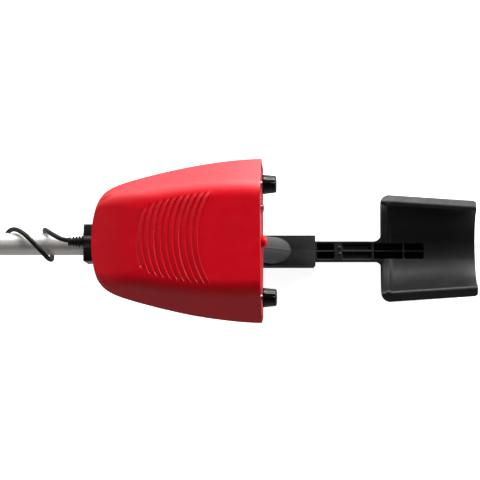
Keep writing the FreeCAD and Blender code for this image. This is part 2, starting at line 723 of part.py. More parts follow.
upper_lead, upper_path = lead_shape(lead_route, size["lead_radius"], "lead_upper")
lower_lead, lower_path = lead_shape(lower_route, size["lead_radius"], "lead_lower")
keep(solid("Upper_lead", upper_lead), "lead_upper")
keep(solid("Lower_lead", lower_lead), "lead_lower")

# ---------------------------------------------------------------- telescoping rod
keep(tube("Rod", "rod_radius", "rod_radius - rod_wall", "rod_front", "rod_back - rod_front"), "lower_rod")

lock = cut(
    "Lock",
    cylinder("Lock_outside", "lock_radius", "lock_back - lock_front", "lock_front"),
    cylinder("Lock_rod_bore", "rod_radius + turning_gap", 60, "lock_front - 1"),
    cylinder("Lock_pole_bore", "pole_radius + turning_gap", 60, "pole_front - 0.5"),
)
lock_flats = [
    block(f"Lock_flute_{i}", ("lock_front + 5", "lock_back - 5"), (-1.2, 1.2),
          ("lock_radius - 1", "lock_radius + 2"))
    for i in range(12)
]
for i, flute in enumerate(lock_flats):
    flute.Placement.Rotation = FreeCAD.Rotation(AXIS_X, 15 + 30 * i)
    angle = math.radians(15 + 30 * i)
    radius = size["lock_radius"] - 1
    flute.setExpression("Placement.Base.y", None)
    flute.setExpression("Placement.Base.z", None)
    flute.Placement.Base = V(
        size["lock_front"] + 5,
        -1.2 * math.cos(angle) - radius * math.sin(angle),
        -1.2 * math.sin(angle) + radius * math.cos(angle),
    )
keep(cut("Lock_fluted", lock, *lock_flats), "lock_collar")

clip_body = fuse(
    "Clip_body",
    cylinder("Clip_ring", 12.5, "clip_long", "clip_front"),
    block("Clip_saddle", ("clip_front", "clip_front + clip_long"), (-4.2, 4.2), ("-clip_reach - 3.8", "0")),
)
keep(
    cut(
        "Clip",
        clip_body,
        cylinder("Clip_rod_bore", "rod_radius + fit_gap", 20, "clip_front - 5"),
        cylinder("Clip_lead_bore", "lead_radius + 0.15", 20, "clip_front - 5", "0", "-clip_reach"),
    ),
    "lead_clip",
)

pivot = V(size["pivot_along"], 0, size["pivot_level"])
half, round_end = size["tongue_half"], size["tongue_round"]
tip_start = V(size["rod_front"] - 4, 0, -0.5)
arm = tip_start - pivot
across = V(arm.z, 0, -arm.x).normalize() * round_end
corners = [tip_start + across, tip_start - across, pivot - across, pivot + across]
web_side = Part.Face(Part.makePolygon([c - V(0, half, 0) for c in corners + corners[:1]]))
web = web_side.extrude(V(0, 2 * half, 0))
tip = web.fuse(Part.makeCylinder(round_end, 2 * half, pivot - V(0, half, 0), AXIS_Y))
tip = tip.fuse(Part.makeCylinder(round_end, 2 * half, tip_start - V(0, half, 0), AXIS_Y))
tip = tip.fuse(Part.makeCylinder(size["rod_radius"], 8, V(size["rod_front"] - 8.05, 0, 0), AXIS_X))
plug_in = size["rod_radius"] - size["rod_wall"] - size["fit_gap"]
tip = tip.fuse(Part.makeCylinder(plug_in, 30, V(size["rod_front"] - 4, 0, 0), AXIS_X))
rod_room = Part.makeCylinder(20, 25, V(size["rod_front"], 0, 0), AXIS_X)
tip = tip.cut(rod_room.cut(Part.makeCylinder(plug_in, 25, V(size["rod_front"], 0, 0), AXIS_X)))
tip = tip.cut(Part.makeCylinder(size["pivot_hole"], 40, pivot - V(0, 20, 0), AXIS_Y)).removeSplitter()
keep(solid("Rod_tip", tip), "rod_tip")

pivot_at = {"x": "pivot_along", "z": "pivot_level", "turn": TO_Y}
for name, side in (("left", "tongue_half + 0.05"), ("right", "-ear_inner + 0.05")):
    thick = "ear_inner - tongue_half - 0.1"
    outer = cylinder(f"Washer_{name}_outside", 8.5, thick, y=side, **pivot_at)
    inner = cylinder(f"Washer_{name}_inside", "pivot_hole + 0.1", 5, y=f"({side}) - 1", **pivot_at)
    keep(cut(f"Washer_{name}", outer, inner), f"washer_{name}")

bolt_head = cylinder("Bolt_head", 6.5, 3.5, y="-ear_outer - 0.1 - 3.5", **pivot_at)
bolt_shank = cylinder(
    "Bolt_shank", "pivot_bolt_radius", "2 * ear_outer + 12", y="-ear_outer - 0.2", **pivot_at
)
keep(fuse("Bolt", bolt_head, bolt_shank), "pivot_bolt")

nut_hub = cylinder("Nut_hub", 6.5, 8, y="ear_outer + 0.2", **pivot_at)
nut_wings = block(
    "Nut_wings",
    ("pivot_along - 16", "pivot_along + 16"),
    ("ear_outer + 2.5", "ear_outer + 11"),
    ("pivot_level - 1.6", "pivot_level + 1.6"),
)
nut_bore = cylinder("Nut_bore", "pivot_bolt_radius + 0.05", 20, y="ear_outer - 1", **pivot_at)
keep(cut("Nut", fuse("Nut_body", nut_hub, nut_wings), nut_bore), "wing_nut")

# ---------------------------------------------------------------- search coil
ring_shell = turned(
    "Coil_ring",
    [
        ("groove_inner - 4", "coil_base_top"),
        ("groove_inner - 4", "coil_web_top"),
        ("groove_inner", "coil_rim_top"),
        ("coil_radius - 5", "coil_rim_top"),
        ("coil_radius", "coil_rim_top - 5"),
        ("coil_radius", "coil_base_top"),
        ("groove_outer", "coil_base_top"),
        ("groove_outer", "groove_top"),
        ("groove_inner", "groove_top"),
        ("groove_inner", "coil_base_top"),
    ],
    axis="V_Axis",
)
rim_cut = cut(
    "Rim_cut",
    cylinder("Rim_cut_outside", 200, 40, z="coil_web_top - 20", turn=UPRIGHT),
    cylinder("Rim_cut_inside", "groove_inner - 4 - fit_gap", 42, z="coil_web_top - 21", turn=UPRIGHT),
)
keep(ring_shell, "coil_ring", ("pivot_along", "0", "0"))


def bridge_plate(name, x, y):
    return block(name, x, y, ("coil_web_top - web_thick", "coil_web_top"))


hub = cylinder("Hub", "hub_radius", "web_thick", z="coil_web_top - web_thick", turn=UPRIGHT)
spokes = [
    bridge_plate("Spoke_along", ("-groove_inner", "groove_inner"), ("-spoke_half", "spoke_half")),
    bridge_plate("Spoke_across", ("-spoke_half", "spoke_half"), ("-groove_inner", "groove_inner")),
]
web_ring = cut(
    "Web_ring",
    cylinder("Web_ring_outside", "groove_inner - 3", "web_thick", z="coil_web_top - web_thick", turn=UPRIGHT),
    cylinder("Web_ring_inside", "window_outer", 40, z="coil_web_top - 20", turn=UPRIGHT),
)
ears = []
for name, side in (("left", "ear_inner"), ("right", "-ear_outer")):
    foot = padded_body(
        f"Ear_{name}",
        [("-24", "coil_web_top - 1"), ("24", "coil_web_top - 1"), ("ear_round - 0.3", "pivot_level - 2"),
         ("-ear_round + 0.3", "pivot_level - 2")],
        "ear_outer - ear_inner",
        role="XZ_Plane",
        midplane=True,
    )
    bind(foot, Placement__Base__y=f"({side}) + (ear_outer - ear_inner) / 2")
    eye = cylinder(
        f"Ear_{name}_eye", "ear_round", "ear_outer - ear_inner", y=side, z="pivot_level", turn=TO_Y
    )
    ears += [foot, eye]
ear_hole = cylinder("Ear_hole", "pivot_hole", 40, y=-20, z="pivot_level", turn=TO_Y)
bridge = cut("Bridge", fuse("Bridge_solid", hub, *spokes, web_ring, *ears), rim_cut, ear_hole)
keep(bridge, "coil_bridge", ("pivot_along", "0", "0"))
base_ring = cut(
    "Coil_base",
    cylinder("Coil_base_outside", "coil_radius", "coil_base_top - floor_level - fit_gap", turn=UPRIGHT),
    cylinder("Coil_base_inside", "groove_inner - 5", 10, z=-1, turn=UPRIGHT),
)
keep(base_ring, "coil_base", ("pivot_along", "0", "floor_level"))
torus = doc.addObject("Part::Torus", "Winding")
bind(torus, Radius1="winding_radius", Radius2="winding_thick")
keep(torus, "coil_winding", ("pivot_along", "0", "coil_base_top + winding_thick + 1"))

gland_foot = cylinder("Gland_foot", 5.6, 9, "0", "0", 0, UPRIGHT)
gland_cone = cone("Gland_cone", 4.6, 3.2, "lead_gland_top - coil_web_top - 8.5", "0", "0", 8.5, UPRIGHT)
gland_bore = cylinder("Gland_bore", "lead_radius + fit_gap", 40, "0", "0", 2, UPRIGHT)
keep(
    cut("Gland", fuse("Gland_body", gland_foot, gland_cone), gland_bore),
    "coil_gland",
    ("lead_gland_along", "0", "coil_web_top + fit_gap"),
)

# ---------------------------------------------------------------- arm cuff
def cuff_profile(along, half_width):
    """Across the cuff: a trough, a rounded crest each side and a flange that turns down outwards."""
    crest, floor = size["cuff_crest"], size["stem_top"]
    skin, flange = size["cuff_skin"], size["cuff_flange"]
    inner, outer = half_width - flange - 2, half_width

    def at(side, level):
        return V(along + size["cuff_lean"] * (crest - level), side, level)

    trough = [at(-inner, crest), at(0, floor), at(inner, crest)]
    underside = [at(inner + 0.6, crest - 4), at(0, floor - skin), at(-inner - 0.6, crest - 4)]
    flange_line = [(inner, crest), (inner + 3, crest), (outer, crest - flange),
                   (outer - 0.8, crest - flange - 2.2), (inner + 0.6, crest - 4)]
    right = [at(side, level) for side, level in flange_line]
    left = [at(-side, level) for side, level in reversed(flange_line)]
    edges = [Part.Arc(*trough).toShape()]
    edges += [Part.makeLine(a, b) for a, b in zip(right, right[1:])]
    edges += [Part.Arc(*underside).toShape()]
    edges += [Part.makeLine(a, b) for a, b in zip(left, left[1:])]
    return Part.Wire(edges)


cuff = Part.makeLoft(
    [
        cuff_profile(size["cuff_front"], size["cuff_front_half"]),
        cuff_profile(size["cuff_back"], size["cuff_back_half"]),
    ],
    True,
    True,
)
stem_half, stem_wall = size["stem_half"], size["stem_wall"]
stem_low, stem_high = size["stem_bottom"], size["stem_top"]
stem_bar = Part.makeBox(size["stem_end"] - size["stem_front"], 2 * stem_half, stem_high - stem_low,
                        V(size["stem_front"], -stem_half, stem_low))
cuff = cuff.fuse(stem_bar)
deep, shallow = stem_low + 2.4, stem_high - 4
cell_half = stem_half - stem_wall
rib_half = 0.7
for start, end, level in ((81, 100, deep), (110, 135.5, shallow), (145.5, 171, deep), (174, 194.5, deep)):
    for side in (rib_half, -cell_half):
        cuff = cuff.cut(Part.makeBox(end - start, cell_half - rib_half, 40, V(start, side, level)))
hollow_start = size["stem_front"] + 3
cuff = cuff.cut(Part.makeBox(30, 2 * cell_half, 10, V(hollow_start, -cell_half, stem_low - 1)))
keep(solid("Cuff", cuff.removeSplitter()), "arm_cuff")

# ---------------------------------------------------------------- checks and export
doc.recompute()
for obj in doc.Objects:
    bad = {"Invalid", "Error"} & set(obj.State)
    if bad:
        raise RuntimeError(f"{obj.Label} is {bad}")
os.makedirs("parts", exist_ok=True)
low, high = V(1e9, 1e9, 1e9), V(-1e9, -1e9, -1e9)
for obj in sub_parts:
    shape = obj.Shape
    if shape.isNull() or not shape.isValid() or not shape.Solids:
        raise RuntimeError(f"{obj.Label} has no valid solid")
    box = shape.BoundBox
    low = V(min(low.x, box.XMin), min(low.y, box.YMin), min(low.z, box.ZMin))
    high = V(max(high.x, box.XMax), max(high.y, box.YMax), max(high.z, box.ZMax))
    print(f"{obj.Label}: {len(shape.Solids)} solid(s), {shape.Volume / 1000:.2f} cm3")
    shape.exportStep(f"parts/{obj.Label}.step")
print("box", [round(c, 2) for c in low], [round(c, 2) for c in high], "sub-parts", len(sub_parts))
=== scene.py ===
import json
import math

import bmesh
import bpy
import numpy as np
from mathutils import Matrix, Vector

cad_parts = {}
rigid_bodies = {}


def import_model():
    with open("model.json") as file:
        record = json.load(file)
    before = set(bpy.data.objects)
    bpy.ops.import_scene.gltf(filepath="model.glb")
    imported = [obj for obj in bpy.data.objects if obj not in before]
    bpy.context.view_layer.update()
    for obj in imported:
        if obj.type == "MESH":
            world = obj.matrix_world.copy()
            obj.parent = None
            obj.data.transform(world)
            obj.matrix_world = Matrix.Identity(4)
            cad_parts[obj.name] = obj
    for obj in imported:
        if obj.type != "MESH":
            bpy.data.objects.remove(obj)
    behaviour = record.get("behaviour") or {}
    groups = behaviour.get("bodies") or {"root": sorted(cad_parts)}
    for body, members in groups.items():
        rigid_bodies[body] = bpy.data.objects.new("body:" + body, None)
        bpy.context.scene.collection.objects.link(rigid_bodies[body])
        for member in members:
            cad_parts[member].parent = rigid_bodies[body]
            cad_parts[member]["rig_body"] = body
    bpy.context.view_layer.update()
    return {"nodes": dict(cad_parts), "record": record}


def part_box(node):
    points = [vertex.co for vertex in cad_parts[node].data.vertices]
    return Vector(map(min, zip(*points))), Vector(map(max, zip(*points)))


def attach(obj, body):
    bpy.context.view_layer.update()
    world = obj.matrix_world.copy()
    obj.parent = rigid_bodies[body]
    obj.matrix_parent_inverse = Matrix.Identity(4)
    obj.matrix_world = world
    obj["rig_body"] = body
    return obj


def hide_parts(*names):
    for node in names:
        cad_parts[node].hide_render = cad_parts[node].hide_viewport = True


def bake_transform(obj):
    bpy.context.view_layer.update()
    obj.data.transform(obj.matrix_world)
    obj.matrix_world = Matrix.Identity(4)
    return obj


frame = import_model()
print("frame loaded:", len(frame["nodes"]), "nodes")

# Sizes below are in millimetres on the pole's own axes; inRow puts them in the frame, in metres.
rowShift = np.array([155.47, 0.0, 96.0])


def inRow(points):
    return (np.asarray(points, dtype=float) + rowShift) / 1000.0


# camera, light and floor
view = {
    "distance": 1200.0,     # from the pole, mm
    "lens": 90.0,
    "sensor": 36.0,
    "lean": 6.0,            # how far the view leans off straight down, degrees
    "aim": (0.0, 4.3, 0.0),
}


def makeCamera():
    data = bpy.data.cameras.new("camera")
    data.lens = view["lens"]
    data.sensor_width = view["sensor"]
    data.clip_start = 0.05
    camera = bpy.data.objects.new("camera", data)
    bpy.context.scene.collection.objects.link(camera)
    lean = math.radians(view["lean"])
    aim = Vector(inRow(view["aim"]))
    away = Vector((0.0, -math.sin(lean), math.cos(lean)))
    camera.location = aim + away * view["distance"] / 1000.0
    camera.rotation_euler = (lean, 0.0, 0.0)
    bpy.context.scene.camera = camera


studio = {
    "skyAbove": 0.04,
    "skyNear": 0.6,         # low down on the shaded side
    "skyFar": 6.5,          # low down on the lit side, +Y
    # each lamp's place and width in metres, and its power in watts
    "lamps": {"key": ((0.78, 0.56, 0.62), 0.4, 4.5),
              "rim": ((1.7, 0.15, 0.3), 0.6, 5.0),
              "side": ((0.35, 1.2, 0.5), 0.6, 11.0)},
    "lampAim": (0.05, 0.0, 0.1),
    "floorColour": (0.78, 0.78, 0.78),
    "floorGlow": 0.86,
    "floorReach": 6.0,
    "floorDrop": 0.0005,    # how far the floor lies under the object, in metres
}


def areaLight(name, at, size, power):
    data = bpy.data.lights.new(name, "AREA")
    data.shape = "DISK"
    data.size = size
    data.energy = power
    lamp = bpy.data.objects.new(name, data)
    bpy.context.scene.collection.objects.link(lamp)
    lamp.location = at
    lamp.rotation_euler = (Vector(studio["lampAim"]) - Vector(at)).to_track_quat("-Z", "Y").to_euler()


def makeWorld():
    # white to the eye; to the object, a soft box that is bright low on the +Y side and dim elsewhere
    world = bpy.data.worlds.new("studio")
    world.use_nodes = True
    bpy.context.scene.world = world
    nodes, links = world.node_tree.nodes, world.node_tree.links
    lit = nodes["Background"]
    coord = nodes.new("ShaderNodeTexCoord")
    split = nodes.new("ShaderNodeSeparateXYZ")
    links.new(coord.outputs["Generated"], split.inputs[0])

    def eased(source, fromLow, fromHigh, low, high):
        node = nodes.new("ShaderNodeMapRange")
        node.interpolation_type = "SMOOTHSTEP"
        limits = {"From Min": fromLow, "From Max": fromHigh, "To Min": low, "To Max": high}
        for key, number in limits.items():
            node.inputs[key].default_value = number
        links.new(source, node.inputs["Value"])
        return node.outputs[0]

    sideways = eased(split.outputs["Y"], 0.3, 0.95, studio["skyNear"], studio["skyFar"])
    lowDown = eased(split.outputs["Z"], 0.15, 0.8, 1.0, 0.0)
    product, total = nodes.new("ShaderNodeMath"), nodes.new("ShaderNodeMath")
    product.operation = "MULTIPLY"
    links.new(sideways, product.inputs[0])
    links.new(lowDown, product.inputs[1])
    links.new(product.outputs[0], total.inputs[0])
    total.inputs[1].default_value = studio["skyAbove"]
    links.new(total.outputs[0], lit.inputs["Strength"])
    seen = nodes.new("ShaderNodeBackground")
    seen.inputs["Strength"].default_value = 1.0
    for shade in (lit, seen):
        shade.inputs["Color"].default_value = (1.0, 1.0, 1.0, 1.0)
    path = nodes.new("ShaderNodeLightPath")
    mix = nodes.new("ShaderNodeMixShader")
    links.new(path.outputs["Is Camera Ray"], mix.inputs[0])
    links.new(lit.outputs[0], mix.inputs[1])
    links.new(seen.outputs[0], mix.inputs[2])
    links.new(mix.outputs[0], nodes["World Output"].inputs["Surface"])


def makeFloor():
    # white paper that glows a little to the camera, so that it stays white under the object's shadow
    reach, level = studio["floorReach"], -studio["floorDrop"]
    mesh = bpy.data.meshes.new("floor")
    mesh.from_pydata([(x * reach, y * reach, level) for x, y in ((-1, -1), (1, -1), (1, 1), (-1, 1))], [],
                     [(0, 1, 2, 3)])
    floor = bpy.data.objects.new("floor", mesh)
    bpy.context.scene.collection.objects.link(floor)
    paper = bpy.data.materials.new("floorPaper")
    paper.use_nodes = True
    nodes, links = paper.node_tree.nodes, paper.node_tree.links
    shader = nodes["Principled BSDF"]
    shader.inputs["Base Color"].default_value = (*studio["floorColour"], 1.0)
    shader.inputs["Roughness"].default_value = 0.9
    glow = nodes.new("ShaderNodeEmission")
    path = nodes.new("ShaderNodeLightPath")
    strength = nodes.new("ShaderNodeMath")
    strength.operation = "MULTIPLY"
    strength.inputs[1].default_value = studio["floorGlow"]
    links.new(path.outputs["Is Camera Ray"], strength.inputs[0])
    links.new(strength.outputs[0], glow.inputs["Strength"])
    both = nodes.new("ShaderNodeAddShader")
    links.new(shader.outputs[0], both.inputs[0])
    links.new(glow.outputs[0], both.inputs[1])
    links.new(both.outputs[0], nodes["Material Output"].inputs["Surface"])
    mesh.materials.append(paper)


def makeStudio():
    makeWorld()
    for name, lamp in studio["lamps"].items():
        areaLight(name, *lamp)
    makeFloor()
    bpy.context.scene.view_settings.view_transform = "Standard"


makeCamera()
makeStudio()
print("camera, light and floor made")


def addObject(name, mesh):
    # a smooth-shaded object in the scene
    mesh.polygons.foreach_set("use_smooth", [True] * len(mesh.polygons))
    piece = bpy.data.objects.new(name, mesh)
    bpy.context.scene.collection.objects.link(piece)
    return piece


def meshPiece(name, points, faces, body, weld=1e-7):
    # points in millimetres on the pole's axes, faces of point numbers
    # a piece given no body is attached to none
    mesh = bpy.data.meshes.new(name)
    mesh.from_pydata(inRow(points).tolist(), [], faces.tolist())
    solid = bmesh.new()
    solid.from_mesh(mesh)
    bmesh.ops.remove_doubles(solid, verts=solid.verts, dist=weld)
    bmesh.ops.dissolve_degenerate(solid, edges=solid.edges, dist=1e-8)
    bmesh.ops.recalc_face_normals(solid, faces=solid.faces)
    solid.to_mesh(mesh)
    solid.free()
    piece = addObject(name, mesh)
    if body:
        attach(piece, body)
    return piece


def gridFaces(rows, columns, closed=False):
    # quads between neighbouring points of a grid stored row by row
    # closed joins the last column to the first
    i = np.arange(rows - 1)[:, None]
    j = np.arange(columns if closed else columns - 1)[None, :]
    k, m = i + 1, (j + 1) % columns
    corners = [i * columns + j, i * columns + m, k * columns + m, k * columns + j]
    return np.stack(corners, axis=-1).reshape(-1, 4)


def gridPiece(name, grid, body, closed=False, weld=1e-7):
    faces = gridFaces(*grid.shape[:2], closed)
    return meshPiece(name, grid.reshape(-1, 3), faces, body, weld)


def capped(grid, middles=None):
    # the rows of a closed tube, with a point in the middle of each end: by default, the mean of the end row
    if middles is None:
        middles = grid[0].mean(axis=0), grid[-1].mean(axis=0)
    first, last = (np.broadcast_to(middle, grid[:1].shape) for middle in middles)
    return np.concatenate([first, grid, last])


def takeOver(piece, node):
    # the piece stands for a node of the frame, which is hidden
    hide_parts(node)


def lathe(name, profile, origin, axis, body, sides=64, wave=None):
    # point(s, a) = origin + along(s) axis + radius(s) wave(s, a) (cos a, sin a) across the axis
    profile = np.asarray(profile, dtype=float)
    axis = np.asarray(axis, dtype=float) / np.linalg.norm(axis)
    first = np.cross(axis, (0.0, 0.0, 1.0) if abs(axis[2]) < 0.9 else (1.0, 0.0, 0.0))
    first /= np.linalg.norm(first)
    second = np.cross(axis, first)
    turn = np.linspace(0, 2 * np.pi, sides, endpoint=False)
    along, radius = profile[:, 0][:, None], profile[:, 1][:, None] * np.ones_like(turn)
    if wave is not None:
        radius = radius * wave(along, turn[None, :])
    ring = np.cos(turn)[None, :, None] * first + np.sin(turn)[None, :, None] * second
    grid = np.asarray(origin, dtype=float) + along[..., None] * axis + radius[..., None] * ring
    return gridPiece(name, grid, body, closed=True)


def finish(piece, bevel, thickness=None, even=True):
    # the last modifiers of a piece, sizes in millimetres
    if thickness:
        wall = piece.modifiers.new("wall", "SOLIDIFY")
        wall.thickness = thickness / 1000.0
        wall.offset = -1.0
        wall.use_even_offset = even
    edge = piece.modifiers.new("edge", "BEVEL")
    edge.width = bevel / 1000.0
    edge.segments = 2
    edge.limit_method = "ANGLE"
    edge.angle_limit = math.radians(40)


class Finish:
    # a procedural material under construction

    def __init__(self, name):
        self.material = bpy.data.materials.new(name)
        self.material.use_nodes = True
        self.nodes, self.links = self.material.node_tree.nodes, self.material.node_tree.links
        self.shader = self.nodes["Principled BSDF"]
        self.coord = self.nodes.new("ShaderNodeTexCoord")
        self.relief = None

    def set(self, **values):
        for key, value in values.items():
            self.shader.inputs[key.replace("_", " ")].default_value = value

    def space(self, stretch=(1, 1, 1)):
        mapping = self.nodes.new("ShaderNodeMapping")
        mapping.inputs["Scale"].default_value = stretch
        self.links.new(self.coord.outputs["Object"], mapping.inputs["Vector"])
        return mapping.outputs[0]

    def noise(self, scale, detail=3.0, roughness=0.55, stretch=(1, 1, 1)):
        node = self.nodes.new("ShaderNodeTexNoise")
        node.inputs["Scale"].default_value = scale
        node.inputs["Detail"].default_value = detail
        node.inputs["Roughness"].default_value = roughness
        self.links.new(self.space(stretch), node.inputs["Vector"])
        return node.outputs["Fac"]

    def cells(self, scale):
        node = self.nodes.new("ShaderNodeTexVoronoi")
        node.inputs["Scale"].default_value = scale
        self.links.new(self.space(), node.inputs["Vector"])
        return node.outputs["Distance"]

    def spread(self, value, low, high, fromLow=0.3, fromHigh=0.7):
        node = self.nodes.new("ShaderNodeMapRange")
        limits = {"From Min": fromLow, "From Max": fromHigh, "To Min": low, "To Max": high}
        for key, number in limits.items():
            node.inputs[key].default_value = number
        self.links.new(value, node.inputs["Value"])
        return node.outputs[0]

    def tint(self, value, *stops):
        node = self.nodes.new("ShaderNodeValToRGB")
        ramp = node.color_ramp
        while len(ramp.elements) < len(stops):
            ramp.elements.new(0.5)
        for element, (place, colour) in zip(ramp.elements, stops):
            element.position = place
            element.color = (*colour, 1.0)
        self.links.new(value, node.inputs["Fac"])
        return node.outputs["Color"]

    def blend(self, factor, first, second):
        node = self.nodes.new("ShaderNodeMix")
        node.data_type = "RGBA"
        for socket, value in ((node.inputs[0], factor), (node.inputs[6], first), (node.inputs[7], second)):
            if isinstance(value, bpy.types.NodeSocket):
                self.links.new(value, socket)
            else:
                socket.default_value = (*value, 1.0) if hasattr(value, "__len__") else value
        return node.outputs[2]

    def colour(self, socket):
        self.links.new(socket, self.shader.inputs["Base Color"])

    def rough(self, value, low, high):
        self.links.new(self.spread(value, low, high), self.shader.inputs["Roughness"])

    def bump(self, value, height, strength=1.0):
        # a relief of this height, in millimetres, over the ones before it
        node = self.nodes.new("ShaderNodeBump")
        node.inputs["Strength"].default_value = strength
        node.inputs["Distance"].default_value = height / 1000.0
        self.links.new(value, node.inputs["Height"])
        if self.relief is not None:
            self.links.new(self.relief, node.inputs["Normal"])
        self.relief = node.outputs[0]
        self.links.new(self.relief, self.shader.inputs["Normal"])


def mouldedPlastic(name, colour, rough, grain=0.02, shade=0.12, scratches=0.0, coat=0.0, specular=0.4):
    # clouded colour, uneven gloss, spark-eroded grain and hairline scratches
    made = Finish(name)
    clouds = made.noise(26.0, 4.0)
    low = tuple(c * (1 - shade) for c in colour)
    high = tuple(min(1.0, c * (1 + shade)) for c in colour)
    body = made.tint(clouds, (0.3, low), (0.7, high))
    if scratches:
        hair = made.noise(140.0, 2.0, 0.4, stretch=(1.0, 14.0, 14.0))
        marks = made.spread(hair, 0.0, scratches, 0.66, 0.70)
        body = made.blend(marks, body, tuple(min(1.0, c * 1.6 + 0.03) for c in colour))
    made.colour(body)
    made.rough(made.noise(90.0, 5.0, 0.65), *rough)
    made.bump(made.noise(9.0, 2.0), 0.5, 0.25)
    made.bump(made.noise(2200.0, 2.0, 0.6), grain)
    made.set(Coat_Weight=coat, Coat_Roughness=0.12, Specular_IOR_Level=specular)
    return made.material


def drawnMetal(name, colour, rough, streak=(6.0, 420.0, 420.0), shine=1.0):
    # fine streaks in one direction, faint stains and small nicks
    made = Finish(name)
    streaks = made.noise(1.0, 5.0, 0.7, stretch=streak)
    stains = made.noise(30.0, 5.0, 0.6)
    low = tuple(c * 0.9 for c in colour)
    body = made.blend(made.spread(stains, 0.0, 1.0, 0.35, 0.65), low, colour)
    body = made.blend(made.spread(streaks, 0.0, 0.35), body, tuple(min(1.0, c * 1.12) for c in colour))
    made.colour(body)
    made.rough(streaks, *rough)
    made.bump(streaks, 0.006)
    nicks = made.cells(260.0)
    made.bump(made.spread(nicks, 0.0, 1.0, 0.02, 0.10), 0.02, 0.5)
    made.set(Metallic=shine)
    return made.material


def dress(material, *names):
    for name in names:
        item = bpy.data.objects[name]
        slots = item.data.materials
        slots.clear()
        slots.append(material)


# the search lead: its route's points steer a smooth line
leadSizes = {
    "radius": 2.3,
    "reach": 15.2,               # of its winding, from the pole's centreline
    "overAdvance": 9.6,          # along the pole in an eighth of a turn, above it
    "underAdvance": 5.2,
    "inClip": -17.4,
    "sides": 20,
    "ringsPerPoint": 16,
}

upperRoute = [
    (-149, 0, 27), (-170.5, 0.5, 27), (-181, 5.6, 23.8), (-190.5, 11.6, 13.5), (-196, 15.3, 0),
    (-196.5, 11.5, -11), (-193.5, 2, -15.8), (-190, -9, -14), (-188, -15.3, -5), (-190, -15.6, 6),
    (-195, -9.4, 14.5), (-203.5, -0.3, 17.2), (-213, 9, 14.8), (-223.5, 14.9, 6.5), (-232, 14.6, -4.5),
    (-238, 7.5, -13),
]
along, turn = upperRoute[-1][0], -60
for step in range(8):
    turn -= 45
    along -= leadSizes["overAdvance"] if turn % 360 < 180 else leadSizes["underAdvance"]
    upperRoute.append((along, leadSizes["reach"] * math.cos(math.radians(turn)),
                       leadSizes["reach"] * math.sin(math.radians(turn))))
upperRoute += [(along - 10, 0.5, -15.8), (along - 26, -1.2, -17.6), (-352, -0.4, -18.9), (-376, 0.5, -18.9),
               (-396, 0, leadSizes["inClip"]), (-406, 0, leadSizes["inClip"])]
lowerRoute = [
    (-406, 0, leadSizes["inClip"]), (-419, 0, leadSizes["inClip"]), (-428.5, 0, -20.1), (-436, 0, -27.3),
    (-440.2, 0, -38), (-441, 0, -50), (-441, 0, -70),
]


def routeLine(name, route):
    # the points of a smooth line steered by the route, in millimetres
    data = bpy.data.curves.new(name + "Line", "CURVE")
    data.dimensions = "3D"
    data.resolution_u = leadSizes["ringsPerPoint"]
    spline = data.splines.new("NURBS")
    spline.points.add(len(route) - 1)
    spline.points.foreach_set("co", np.hstack([inRow(route), np.ones((len(route), 1))]).ravel())
    spline.order_u = 3
    spline.use_endpoint_u = True
    holder = bpy.data.objects.new(name + "Line", data)
    bpy.context.scene.collection.objects.link(holder)
    bpy.context.view_layer.update()
    mesh = bpy.data.meshes.new_from_object(holder)
    line = np.empty(len(mesh.vertices) * 3)
    mesh.vertices.foreach_get("co", line)
    bpy.data.objects.remove(holder)
    bpy.data.curves.remove(data)
    bpy.data.meshes.remove(mesh)
    return line.reshape(-1, 3) * 1000.0 - rowShift


def leadTube(name, line, outward):
    # point(i, a) = line(i) + radius (cos a first(i) + sin a second(i))
    # first is outward less its part along the line, second is across both
    tangent = np.gradient(line, axis=0)
    tangent /= np.linalg.norm(tangent, axis=1)[:, None]
    first = outward - (outward * tangent).sum(axis=1)[:, None] * tangent
    first /= np.linalg.norm(first, axis=1)[:, None]
    second = np.cross(tangent, first)
    a = np.linspace(0, 2 * np.pi, leadSizes["sides"], endpoint=False)
    ring = np.cos(a)[None, :, None] * first[:, None] + np.sin(a)[None, :, None] * second[:, None]
    grid = line[:, None] + leadSizes["radius"] * ring
    return gridPiece(name, capped(grid, (line[0], line[-1])), None, closed=True)


def lineLength(line):
    return float(np.linalg.norm(np.diff(line, axis=0), axis=1).sum())


upperLine = routeLine("upperLead", upperRoute)
upperLead = leadTube("upper_lead", upperLine, upperLine * (0.0, 1.0, 1.0))
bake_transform(upperLead)
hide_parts("lead_upper")
lowerLine = routeLine("lowerLead", lowerRoute)
lowerLead = leadTube("lower_lead", lowerLine, np.zeros_like(lowerLine) + (0.0, 1.0, 0.0))
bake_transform(lowerLead)
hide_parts("lead_lower")
print("leads made:", *(round(lineLength(line), 1) for line in (upperLine, lowerLine)), "mm")


coverSizes = {
    "rear": 20.0, "nose": -144.2,    # along the pole
    "halfWidth": 79.9,
    "narrowing": 0.422, "power": 1.648, "noseRound": 0.042,
    "lip": 34.0, "shoulder": 38.0,
    "sideSlope": 0.80, "noseSlope": 0.42,
    "roof": 63.9, "roofSlope": 0.084,
    "softness": 7.0,                 # how wide the edges between the slopes are rounded
    "lean": 4.57,                    # of the rear edge, degrees
    "wall": 2.5, "edge": 0.9,
    "leanStart": 0.0, "rearRow": 21.4,   # where the rear's lean begins, and the last row before it leans
    "bendIn": (-140.0, -100.0),          # the rows take up the ridges' arc between these
    "bendOut": (-42.0, 8.0),             # and lose it again between these
    "rowPower": 1.12, "crowding": 0.35,  # rows lie closer at the nose, columns at the sides
    "rows": 330, "columns": 121,
}
ridgeSizes = {
    "first": -99.5, "pitch": 5.95, "count": 10,
    "arcRadius": 84.0, "arcLimit": 50.0,
    "height": 1.7, "drop": 0.12,
    "narrow": 29.0, "wide": 44.5,    # half length of the first and of the last
    "fade": 3.0,
}


